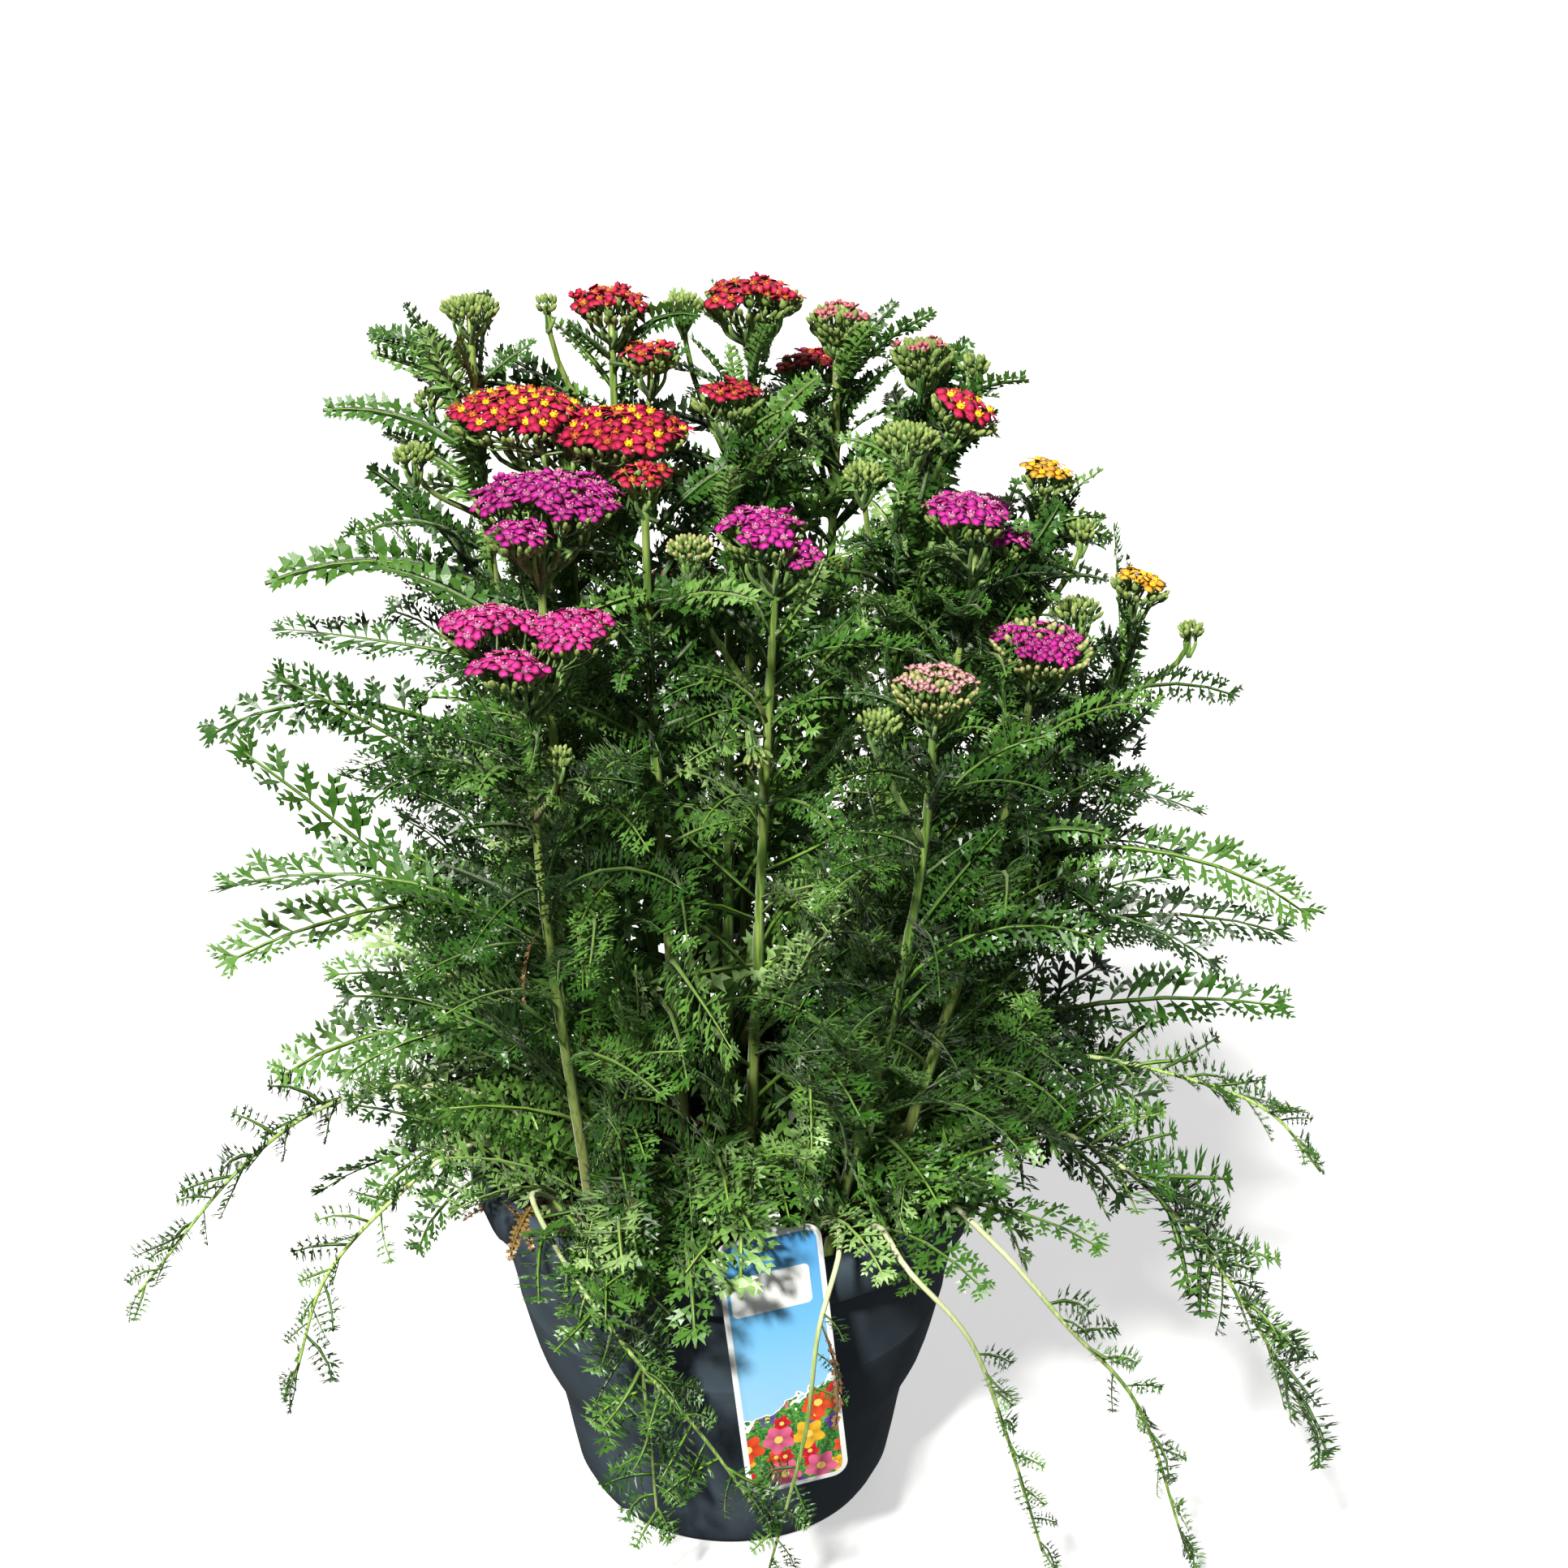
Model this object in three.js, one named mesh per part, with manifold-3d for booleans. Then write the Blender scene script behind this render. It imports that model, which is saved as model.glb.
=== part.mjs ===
// A compact border yarrow in a moulded plastic nursery pot, with a picture label hooked over the rim.
// Millimetres, +Z up. The origin is the centre of the pot's flat underside. The label hangs on the -Y side.
import * as THREE from "three";
import { mergeVertices } from "three/addons/utils/BufferGeometryUtils.js";
import Module from "manifold-3d";

const wasm = await Module();
wasm.setup();

// ---- Driving dimensions -------------------------------------------------------------------------

const CLEARANCE = 0.35; // gap kept between pieces that touch on the real plant

const POT_SEGMENTS = 24;
const RIM_RADIUS = 95;
const RIM_TOP = 146;
const RIM_UNDER = 129.5; // lower edge of the rolled rim
const BASE_RADIUS = 54;
const FLOOR_TOP = 3;
// outer wall from the underside to the rim's lower edge: [radius, height]
const POT_OUTSIDE = [[60, 11], [64.5, 41], [73, 56], [79, 86], [87, RIM_UNDER]];
const POT_RIM = [[91.5, RIM_UNDER - 0.4], [RIM_RADIUS, 138], [92.5, 144.4], [88.5, RIM_TOP], [86, 143.5]];
const POT_INSIDE = [[84, RIM_UNDER], [76.5, 86], [62.3, 41], [52.5, FLOOR_TOP]];
const GRIP_AZIMUTH = -10.5; // the two grips in the rim lie along this line, in degrees
const GRIP_HALF_SPAN = 38;
const GRIP_FADE = 12; // degrees over which a grip runs out into the plain rim
const GRIP_DROP = 7; // how much lower the rim's edge reaches at a grip
const GRIP_TUCK = 2.5; // how much closer to the wall it lies there
const DRAIN_HOLE_RADIUS = 4;
const DRAIN_HOLE_CIRCLE = 34;
const DRAIN_HOLES = 4;

const SOIL_TOP = 134;
const SOIL_RELIEF = 2.2;
const HOLE_DEPTH = 13;
const STEM_SINK = 11; // how far a stem goes down into its hole
const DRILL_LENGTH = 40; // of the prisms that cut the holes

const LABEL_WIDTH = 36;
const LABEL_LENGTH = 106;
const LABEL_THICKNESS = 0.9;
const LABEL_CORNER = 6;
const LABEL_TOP = [14, -101, 169]; // middle of the plate's top edge
const LABEL_YAW = 14; // degrees, the plate faces a little to the right
const LABEL_LEAN = 6; // degrees, its foot swings to the right
const LABEL_NECK_WIDTH = 11;
// the neck's middle line from the plate over the rim down into the soil, as [towards the pot, height]
const LABEL_NECK = [[0, -8], [0.6, 0], [4, 4.2], [9.5, 5], [16, 1.5], [22.5, -14], [23.5, -44]];

const STEM_RADIUS = 2.3;
const BRANCH_RADIUS = 1.25;
const RAY_RADIUS = 1;
const SMALL_HEAD = 11.5; // half-width below which a head has two side rays instead of three
const RAY_REACH = 0.6; // how far out under a head its rays end, as a share of the way to its edge
const BUD_SINK = 2.5; // how far a stalk reaches into the bud head it carries
const RAY_STEP = 0.8; // a ray is lowered by this much until it clears its head
const RUNNER_RADIUS = 1.45;
const STEM_SIDES = 5;
const STEM_STEPS = 4;
const BRANCH_SIDES = 3;
const BRANCH_STEPS = 3;
const RUNNER_STEPS = 11;

const LEAF_RIB_WIDTH = 1.5;
const LEAF_RIB_DEPTH = 1.3;
const LEAVES_PER_STEM = 4;
const LEAF_LOWEST = 0.22; // where the leaves of a stem begin and end
const LEAF_HIGHEST = 0.96;
const LEAF_LENGTH_LOW = 98;
const LEAF_LENGTH_HIGH = 52;
const LEAF_HALF_WIDTH = 0.3; // times a leaf's length to the power 0.8
const LEAF_ROLL = 130; // degrees, the whole range in which blades turn about their ribs
const RUNNER_LEAFLET = 13; // how far a runner's leaflets reach
const RUNNER_LEAFLET_TURN = 32; // degrees, by turns above and below
const CROWN_HEIGHT = 22; // of the short stock that a tuft's leaves grow from
const FROND_SPACING = 3.2;
const GOLDEN_ANGLE = 137.5;
const CLUMP_CORE = 45; // stems whose heads are nearer the middle than this have leaves on every side

// ---- The plant, stem by stem --------------------------------------------------------------------
// foot: where the stem enters the soil, x and y.  at: the top of a head.  half: half a head's width.
// lobes: [dx, dy, dz, half] of each part of a lobed head.
// leaves: [place along the stem, azimuth, length, rise, droop].

const FLOWERING_STEMS = [
  {
    name: "stem_left_rear",
    foot: [-22, 4],
    heads: [
      { name: "head_red_left_rear", petal: "red", at: [-36, 10, 454], half: 12.6 },
      { name: "head_red_left_small", petal: "red", at: [-23, -9, 442], half: 9.6 },
    ],
    buds: [{ at: [-56, 2, 455], half: 3.9 }],
    leaves: [],
  },
  {
    name: "stem_summit",
    foot: [4, 12],
    heads: [{ name: "head_red_summit", petal: "red", at: [9, 10, 457], half: 17, tile: 7.8 }],
    buds: [{ at: [-13, 10, 453], half: 6.2 }],
    leaves: [],
  },
  {
    name: "stem_right_rear",
    foot: [20, 24],
    heads: [
      { name: "head_pink_rear", petal: "pink", at: [37, 20, 446], half: 10.2 },
      { name: "head_red_rear", petal: "red", at: [29, 47, 423], half: 12 },
    ],
    buds: [],
    leaves: [[0.9, 25, 34, 60, 30]],
  },
  {
    name: "stem_right_high",
    foot: [38, 6],
    heads: [
      { name: "head_pink_right", petal: "pink", at: [64, 2, 440], half: 10.4 },
      { name: "head_gold_red_right", petal: "red", at: [78, -20, 427], half: 11.7, tilt: [-15, 24] },
    ],
    buds: [{ at: [81, 6, 434], half: 5.2 }],
    leaves: [],
  },
  {
    name: "stem_budded",
    foot: [29, -15],
    heads: [],
    buds: [{ at: [58, -40, 425], half: 10 }, { at: [44, -51, 416], half: 6.4 }],
    leaves: [],
  },
  {
    name: "stem_orange_high",
    foot: [54, -8],
    heads: [{ name: "head_orange_high", petal: "orange", at: [104, -20, 406], half: 9.6, tilt: [0, 12] }],
    buds: [{ at: [115, -26, 389], half: 4.2 }],
    leaves: [[0.62, -18, 84, 28, -20]],
  },
  {
    name: "stem_orange_low",
    foot: [60, -24],
    heads: [{ name: "head_orange_low", petal: "orange", at: [133, -40, 376], half: 9.8, tilt: [0, 10] }],
    buds: [{ at: [112, -54, 373], half: 7.8 }, { at: [149, -43, 361], half: 4.2 }],
    leaves: [[0.66, -12, 92, 20, -42], [0.5, 4, 96, 16, -16], [0.34, -14, 110, 22, 4]],
  },
  {
    name: "stem_magenta_right",
    foot: [43, -32],
    heads: [
      {
        name: "head_magenta_right",
        petal: "magenta",
        at: [77, -54, 406],
        half: 15.7,
        lobes: [[0, 0, 0, 15], [15, 4, -10, 7.5]],
        tile: 7.6,
        tilt: [0, 8],
      },
    ],
    buds: [],
    leaves: [],
  },
  {
    name: "stem_pink_low",
    foot: [50, -48],
    heads: [
      { name: "head_pink_low", petal: "pink", at: [99, -75, 371], half: 15.8, tile: 7.3, tilt: [-30, 8] },
    ],
    buds: [],
    leaves: [[0.6, -22, 88, 36, -30]],
  },
  {
    name: "stem_pale",
    foot: [33, -64],
    heads: [{ name: "head_pale", petal: "pale", at: [65, -95, 365], half: 13 }],
    buds: [{ at: [48, -104, 356], half: 6.8 }],
    leaves: [],
  },
  {
    name: "stem_magenta_middle",
    foot: [6, -42],
    heads: [
      {
        name: "head_magenta_middle",
        petal: "magenta",
        at: [14, -60, 402],
        half: 15.2,
        lobes: [[0, 0, 0, 15.2], [12, -3, -8, 8]],
        tile: 7,
        tilt: [-60, 6],
      },
    ],
    buds: [{ at: [-9, -67, 398], half: 7.2 }, { at: [12, -77, 327], half: 4.8, hanging: true }],
    leaves: [],
  },
  {
    name: "stem_red_middle",
    foot: [-1, -20],
    heads: [{ name: "head_red_middle", petal: "red", at: [2, -25, 433], half: 11.8 }],
    buds: [],
    leaves: [],
  },
  {
    name: "stem_red_small",
    foot: [-13, -36],
    heads: [{ name: "head_red_small", petal: "red", at: [-23, -57, 417], half: 8.4 }],
    buds: [],
    leaves: [],
  },
  {
    name: "stem_gold_red_twin",
    foot: [-27, -16],
    heads: [
      {
        name: "head_gold_red_twin",
        petal: "red",
        at: [-48, -26, 429],
        half: 28,
        lobes: [[-17, 5, 0, 23], [17, -5, -3, 21]],
        tile: 10.5,
      },
    ],
    buds: [],
    leaves: [],
  },
  {
    name: "stem_magenta_left",
    foot: [-34, -34],
    heads: [
      {
        name: "head_magenta_left",
        petal: "magenta",
        at: [-53, -57, 413],
        half: 23,
        lobes: [[0, 0, 0, 23], [-7, -17, -8, 11]],
        tile: 10,
      },
    ],
    buds: [],
    leaves: [],
  },
  {
    name: "stem_magenta_low",
    foot: [-46, -50],
    heads: [
      {
        name: "head_magenta_low",
        petal: "magenta",
        at: [-57, -86, 380],
        half: 24,
        lobes: [[-12, 2, 0, 15.5], [12, 1, -1, 15], [-5, -12, -8, 12]],
        tile: 8.8,
      },
    ],
    buds: [{ at: [-48, -103, 344], half: 4.4 }],
    leaves: [[0.62, 176, 112, 34, -18]],
  },
  {
    name: "stem_budded_left",
    foot: [-44, -6],
    heads: [],
    buds: [
      { at: [-80, -4, 456], half: 9.4 },
      { at: [-98, -22, 413], half: 6.6 },
      { at: [-95, 2, 424], half: 5.2 },
    ],
    leaves: [
      [0.93, 172, 36, 34, 6],
      [0.74, 186, 78, 30, -22],
      [0.66, 168, 84, 14, -6],
      [0.48, 184, 104, 40, 26],
      [0.36, 192, 126, 26, -26],
      [0.24, 176, 92, 24, -14],
    ],
  },
  {
    name: "stem_back_left",
    foot: [-32, 26],
    heads: [{ name: "head_magenta_back_left", petal: "magenta", at: [-64, 62, 370], half: 14, tile: 8.6 }],
    buds: [{ at: [-84, 54, 356], half: 5 }],
    leaves: [[0.5, 150, 100, 30, -20]],
  },
  {
    name: "stem_back_middle",
    foot: [-8, 42],
    heads: [{ name: "head_red_back", petal: "red", at: [-16, 94, 328], half: 15, tile: 9.4 }],
    buds: [],
    leaves: [[0.55, 100, 96, 30, -20]],
  },
  {
    name: "stem_back_orange",
    foot: [18, 46],
    heads: [{ name: "head_orange_back", petal: "orange", at: [38, 92, 332], half: 11 }],
    buds: [{ at: [22, 106, 316], half: 5 }],
    leaves: [[0.5, 60, 100, 30, -20]],
  },
  {
    name: "stem_back_right",
    foot: [40, 28],
    heads: [{ name: "head_magenta_back_right", petal: "magenta", at: [86, 58, 368], half: 13.6, tile: 8.6 }],
    buds: [],
    leaves: [[0.55, 28, 100, 30, -20]],
  },
  {
    name: "stem_back_high",
    foot: [-2, 26],
    heads: [{ name: "head_red_back_high", petal: "red", at: [-8, 58, 378], half: 12 }],
    buds: [],
    leaves: [],
  },
];

// Thin leafy runners that lie over the rim and hang beside the pot: the points of each one's middle line.
// fronds: [azimuth, length, rise, droop] of the large leaves at its root.
const RUNNERS = [
  {
    name: "runner_left_high",
    path: [
      [-62, -8, 134], [-80, -12, 163], [-109, -20, 176],
      [-141, -38, 178], [-166, -58, 167], [-200, -86, 133],
    ],
    fronds: [[196, 92, 30, -34], [160, 84, 48, 0]],
  },
  {
    name: "runner_left_low",
    path: [
      [-60, -27, 134], [-76, -46, 166], [-90, -62, 177],
      [-113, -81, 167], [-133, -96, 148], [-145, -104, 112],
    ],
    fronds: [[214, 88, 26, -62], [188, 84, 52, 4]],
  },
  {
    name: "runner_front_left",
    path: [
      [-54, -40, 134], [-66, -70, 163], [-50, -106, 156],
      [-30, -119, 133], [-8, -120, 102], [11, -116, 66],
    ],
    fronds: [[232, 70, 62, -10]],
  },
  {
    name: "runner_front",
    path: [
      [-36, -50, 134], [-38, -78, 160], [-32, -97, 148],
      [-29, -98, 118], [-27, -95, 88], [-25, -89, 42],
    ],
    fronds: [[262, 72, 66, -24], [292, 66, 70, 0]],
  },
  {
    name: "runner_label",
    path: [
      [24, -62, 134], [36, -82, 161], [38, -100, 162],
      [31, -114, 140], [27, -115, 100], [15, -109, 38],
    ],
    fronds: [[282, 76, 64, -30]],
  },
  {
    name: "runner_front_right",
    path: [
      [46, -58, 134], [52, -82, 158], [60, -104, 157],
      [80, -109, 134], [95, -105, 90], [110, -98, 34],
    ],
    fronds: [[304, 78, 50, -22], [330, 70, 60, 10]],
  },
  {
    name: "runner_right_low",
    path: [
      [60, -44, 134], [72, -60, 156], [92, -77, 147],
      [116, -86, 121], [140, -88, 92], [161, -88, 30],
    ],
    fronds: [[326, 84, 40, -20]],
  },
  {
    name: "runner_right_high",
    path: [
      [62, 10, 134], [84, -6, 176], [114, -28, 194],
      [154, -48, 197], [184, -60, 190], [202, -66, 170],
    ],
    fronds: [[6, 86, 44, -8], [30, 84, 46, -20]],
  },
  {
    name: "runner_right_long",
    path: [
      [66, -14, 134], [88, -36, 171], [114, -56, 180],
      [142, -72, 168], [170, -84, 138], [200, -94, 88],
    ],
    fronds: [[344, 84, 34, -10]],
  },
];

const TUFTS = [
  {
    name: "tuft_front",
    foot: [-4, -62],
    fronds: [
      [250, 84, 70, -36],
      [268, 92, 66, -84],
      [286, 70, 76, -10],
      [228, 78, 66, -14],
      [310, 74, 74, 10],
      [180, 66, 76, 20],
    ],
  },
  {
    name: "tuft_back_left",
    foot: [-44, 48],
    fronds: [[100, 84, 60, -20], [130, 92, 50, -34], [160, 96, 46, -20], [190, 70, 70, 10], [60, 70, 68, 10]],
    runner: [[-58, 68, 165], [-78, 92, 168], [-96, 112, 142], [-106, 122, 96]],
  },
  {
    name: "tuft_back_right",
    foot: [42, 54],
    fronds: [[80, 84, 60, -20], [50, 94, 50, -34], [20, 96, 46, -16], [110, 72, 68, 10], [350, 70, 70, 10]],
    runner: [[54, 76, 165], [72, 100, 166], [92, 118, 136], [104, 124, 84]],
  },
];

// ---- Colours ------------------------------------------------------------------------------------

const PETALS = { red: 0xc2142f, magenta: 0xc11a86, pink: 0xc9657c, pale: 0xdc9fa6, orange: 0xe6a123 };
const POT_COLOUR = 0x323d48;
const SOIL_COLOUR = 0x35261b;
const LABEL_COLOUR = 0x8cc3e8;
const STEM_COLOUR = 0x5f8a45;
const LEAF_COLOUR = 0x3f6f3c;

// ---- Helpers ------------------------------------------------------------------------------------

const radians = THREE.MathUtils.degToRad;
const degrees = THREE.MathUtils.radToDeg;
const lerp = THREE.MathUtils.lerp;
const vector = (x, y, z) => new THREE.Vector3(x, y, z);
const plant = new THREE.Group();

// A repeatable number from 0 to 1 for each pair of keys.
function draw(key, turn) {
  const wave = Math.sin(key * 12.9898 + turn * 78.233) * 43758.5453;
  return wave - Math.floor(wave);
}

function heading(azimuth) {
  return vector(Math.cos(radians(azimuth)), Math.sin(radians(azimuth)), 0);
}

function solidFromGeometry(geometry) {
  geometry.deleteAttribute("normal");
  geometry.deleteAttribute("uv");
  const merged = mergeVertices(geometry, 1e-4);
  const corners = merged.index.array;
  const triangles = [];
  for (let i = 0; i < corners.length; i += 3) {
    const [a, b, c] = [corners[i], corners[i + 1], corners[i + 2]];
    if (a !== b && b !== c && c !== a) {
      triangles.push(a, b, c);
    }
  }
  return new wasm.Manifold(
    new wasm.Mesh({
      numProp: 3,
      vertProperties: new Float32Array(merged.attributes.position.array),
      triVerts: new Uint32Array(triangles),
    }),
  );
}

// A closed shape from its points and its faces, three points a face.
function solidFromFaces(points, faces) {
  const geometry = new THREE.BufferGeometry();
  const numbers = points.flatMap((point) => point.toArray());
  geometry.setAttribute("position", new THREE.Float32BufferAttribute(numbers, 3));
  geometry.setIndex(faces.flat());
  return solidFromGeometry(geometry);
}

function addPiece(name, solid, colour, roughness) {
  const { vertProperties, triVerts } = solid.getMesh();
  const geometry = new THREE.BufferGeometry();
  geometry.setAttribute("position", new THREE.BufferAttribute(new Float32Array(vertProperties), 3));
  geometry.setIndex(new THREE.BufferAttribute(new Uint32Array(triVerts), 1));
  geometry.computeVertexNormals();
  const material = new THREE.MeshStandardMaterial({ color: colour, roughness, metalness: 0 });
  const mesh = new THREE.Mesh(geometry, material);
  mesh.name = name;
  plant.add(mesh);
}

// A stem of even thickness along a curve.
function stemAlong(curve, radius, sides, steps) {
  const corners = Array.from({ length: sides }, (_, i) => {
    const angle = (2 * Math.PI * i) / sides;
    return new THREE.Vector2(radius * Math.cos(angle), radius * Math.sin(angle));
  });
  const options = { steps, extrudePath: curve, bevelEnabled: false };
  return solidFromGeometry(new THREE.ExtrudeGeometry(new THREE.Shape(corners), options));
}

// A three-sided stalk that widens from one point to another, as the rays under a flower head do.
function ray(from, to, startRadius, endRadius) {
  const along = to.clone().sub(from).normalize();
  const turn = new THREE.Quaternion().setFromUnitVectors(vector(0, 0, 1), along);
  const ring = (centre, radius) =>
    [0, 120, 240].map((angle) => heading(angle).multiplyScalar(radius).applyQuaternion(turn).add(centre));
  const points = [...ring(from, startRadius), ...ring(to, endRadius)];
  const faces = [[0, 2, 1], [3, 4, 5]];
  for (let i = 0; i < 3; i += 1) {
    const j = (i + 1) % 3;
    faces.push([i, j, j + 3], [i, j + 3, i + 3]);
  }
  return solidFromFaces(points, faces);
}

// ---- Ferny leaves -------------------------------------------------------------------------------

// A keeled rib with opposite leaflets cut to the rib, each a thin forward-pointing blade. place turns a
// distance along the rib, one across it and one above it into a point. spread gives the reach and lift of a
// leaflet, or null on a bare stretch.
function feather({ place, stations, length, width, depth, spread }) {
  const points = [];
  for (const s of stations) {
    const taper = 1 - 0.5 * (s / length);
    points.push(place(s, (width / 2) * taper, 0.25));
    points.push(place(s, (-width / 2) * taper, 0.25));
    points.push(place(s, 0, -depth * taper));
  }
  const faces = [[0, 2, 1]];
  const quad = (a, b) => faces.push([a, b, b + 3], [a, b + 3, a + 3]);
  for (let i = 0; i + 1 < stations.length; i += 1) {
    const [left, right, keel] = [3 * i, 3 * i + 1, 3 * i + 2];
    const step = stations[i + 1] - stations[i];
    quad(left, right);
    for (const [a, b, sign] of [[right, keel, -1], [keel, left, 1]]) {
      const reach = spread(i, sign);
      if (reach === null) {
        quad(a, b);
        continue;
      }
      points.push(place(stations[i] + 1.05 * step, sign * reach[0], reach[1]));
      const tip = points.length - 1;
      faces.push([a, b, tip], [b, b + 3, tip], [b + 3, a + 3, tip], [a + 3, a, tip]);
    }
  }
  const last = 3 * (stations.length - 1);
  points.push(place(length, 0, 0));
  const end = points.length - 1;
  faces.push([last, last + 1, end], [last + 1, last + 2, end], [last + 2, last, end]);
  return solidFromFaces(points, faces);
}

// One leaf on an arc. rise and droop are the rib's slopes in degrees where it starts and ends, and roll turns
// the blade about its rib.
function frond({ root, azimuth, length, halfWidth, pairs, rise, droop, roll }) {
  const out = heading(azimuth);
  const side = heading(azimuth + 90);
  const start = radians(rise);
  const bend = (radians(droop) - start) / length;
  const [level, lean] = [Math.cos(radians(roll)), Math.sin(radians(roll))];
  const place = (s, across, above) => {
    const sideways = across * level - above * lean;
    const lift = across * lean + above * level;
    const slope = start + bend * s;
    const reach = (Math.sin(slope) - Math.sin(start)) / bend - lift * Math.sin(slope);
    const height = (Math.cos(start) - Math.cos(slope)) / bend + lift * Math.cos(slope);
    const point = root.clone().addScaledVector(out, reach).addScaledVector(side, sideways);
    return point.add(vector(0, 0, height));
  };
  const bare = 0.15 * length;
  const step = (0.93 * length - bare) / pairs;
  const stations = [0, ...Array.from({ length: pairs + 1 }, (_, i) => bare + i * step)];
  const spread = (i) => {
    const along = (i - 0.5) / pairs;
    const reach = halfWidth * (0.5 + 1.35 * along - 1.55 * along * along);
    return i === 0 ? null : [reach, 0.12 * reach];
  };
  return feather({ place, stations, length, width: LEAF_RIB_WIDTH, depth: LEAF_RIB_DEPTH, spread });
}

// A thin trailing stem with small leaflets all along its outer part.
function trailing(points, bareSteps) {
  const curve = new THREE.CatmullRomCurve3(points);
  const length = curve.getLength();
  const first = points[0];
  const last = points[points.length - 1];
  const side = vector(first.y - last.y, last.x - first.x, 0).normalize();
  const place = (s, across, above) => {
    const share = Math.min(s / length, 1);
    const lift = curve.getTangentAt(share).cross(side);
    return curve.getPointAt(share).addScaledVector(side, across).addScaledVector(lift, above);
  };
  const step = (0.97 * length) / (RUNNER_STEPS - 1);
  const stations = Array.from({ length: RUNNER_STEPS }, (_, i) => step * i);
  const spread = (i, sign) => {
    if (i < bareSteps) {
      return null;
    }
    const turn = radians(RUNNER_LEAFLET_TURN * (i % 2 === 0 ? 1 : -1) * sign);
    const reach = RUNNER_LEAFLET * (1.1 - (0.5 * i) / RUNNER_STEPS);
    return [reach * Math.cos(turn), reach * Math.sin(turn)];
  };
  const [width, depth] = [2 * RUNNER_RADIUS, 1.5 * RUNNER_RADIUS];
  const solid = feather({ place, stations, length, width, depth, spread });
  return { curve, solid };
}

// Solids already standing, each with the name of the piece it belongs to.
const standing = [];

function stand(owner, solid) {
  standing.push({ owner, solid, box: solid.boundingBox() });
}

function boxesMeet(a, b) {
  return [0, 1, 2].every((k) => a.min[k] < b.max[k] + CLEARANCE && b.min[k] < a.max[k] + CLEARANCE);
}

// A leaf may touch only the stalks it grows from.
function isClear(owner, solid) {
  const box = solid.boundingBox();
  const meets = (other) => boxesMeet(box, other.box) && solid.minGap(other.solid, 1) <= CLEARANCE;
  return standing.every((other) => other.owner === owner || !meets(other));
}

// The ways a leaf may turn, lift and shorten to stay out of its neighbours:
// [azimuth, rise, share of its length].
const LEAF_TRIES = [
  [0, 0, 1],
  [14, 6, 1],
  [-14, 6, 1],
  [28, -8, 0.95],
  [-28, -8, 0.95],
  [42, 10, 0.9],
  [-42, 10, 0.9],
  [60, 0, 0.85],
  [-60, 0, 0.85],
  [80, 14, 0.8],
  [-80, 14, 0.8],
  [105, 4, 0.75],
  [-105, 4, 0.75],
  [135, 10, 0.65],
  [-135, 10, 0.65],
];

// Adds the first try of a leaf that stands clear, or none where no try does.
function growLeaf(owner, parts, leaf) {
  for (const [turn, lift, share] of LEAF_TRIES) {
    const length = leaf.length * share;
    const solid = frond({
      ...leaf,
      azimuth: leaf.azimuth + turn,
      rise: leaf.rise + lift,
      length,
      halfWidth: leaf.halfWidth * Math.sqrt(share),
    });
    if (isClear(owner, solid)) {
      parts.push(solid);
      stand(`${owner} leaf`, solid);
      return;
    }
  }
}

function leafPairs(length) {
  if (length < 40) {
    return 2;
  }
  return length < 62 ? 3 : 4;
}

function leafOf(root, azimuth, length, rise, droop) {
  const roll = LEAF_ROLL * (draw(root.x + root.y, root.z) - 0.5);
  const halfWidth = LEAF_HALF_WIDTH * length ** 0.8;
  return { root, azimuth, length, halfWidth, pairs: leafPairs(length), rise, droop, roll };
}

// ---- Flower heads -------------------------------------------------------------------------------

const TILE_ROWS = 7;
const DOME_DROP = 0.2; // how far a dome falls from its middle to its edge, as a share of its half-width
const EYE_RISE = 0.1; // of a floret's middle and of the pits between florets, as shares of a tile's size
const PIT_DEPTH = 0.2;
// the six tiles round a tile, as steps in [row, column], from the one at +X on round
const NEXT_TILES = [[0, 1], [1, 0], [1, -1], [0, -1], [-1, 0], [-1, 1]];

function tileCentre(row, column, size) {
  return [size * (column + row / 2), size * row * Math.sin(radians(60))];
}

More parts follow.
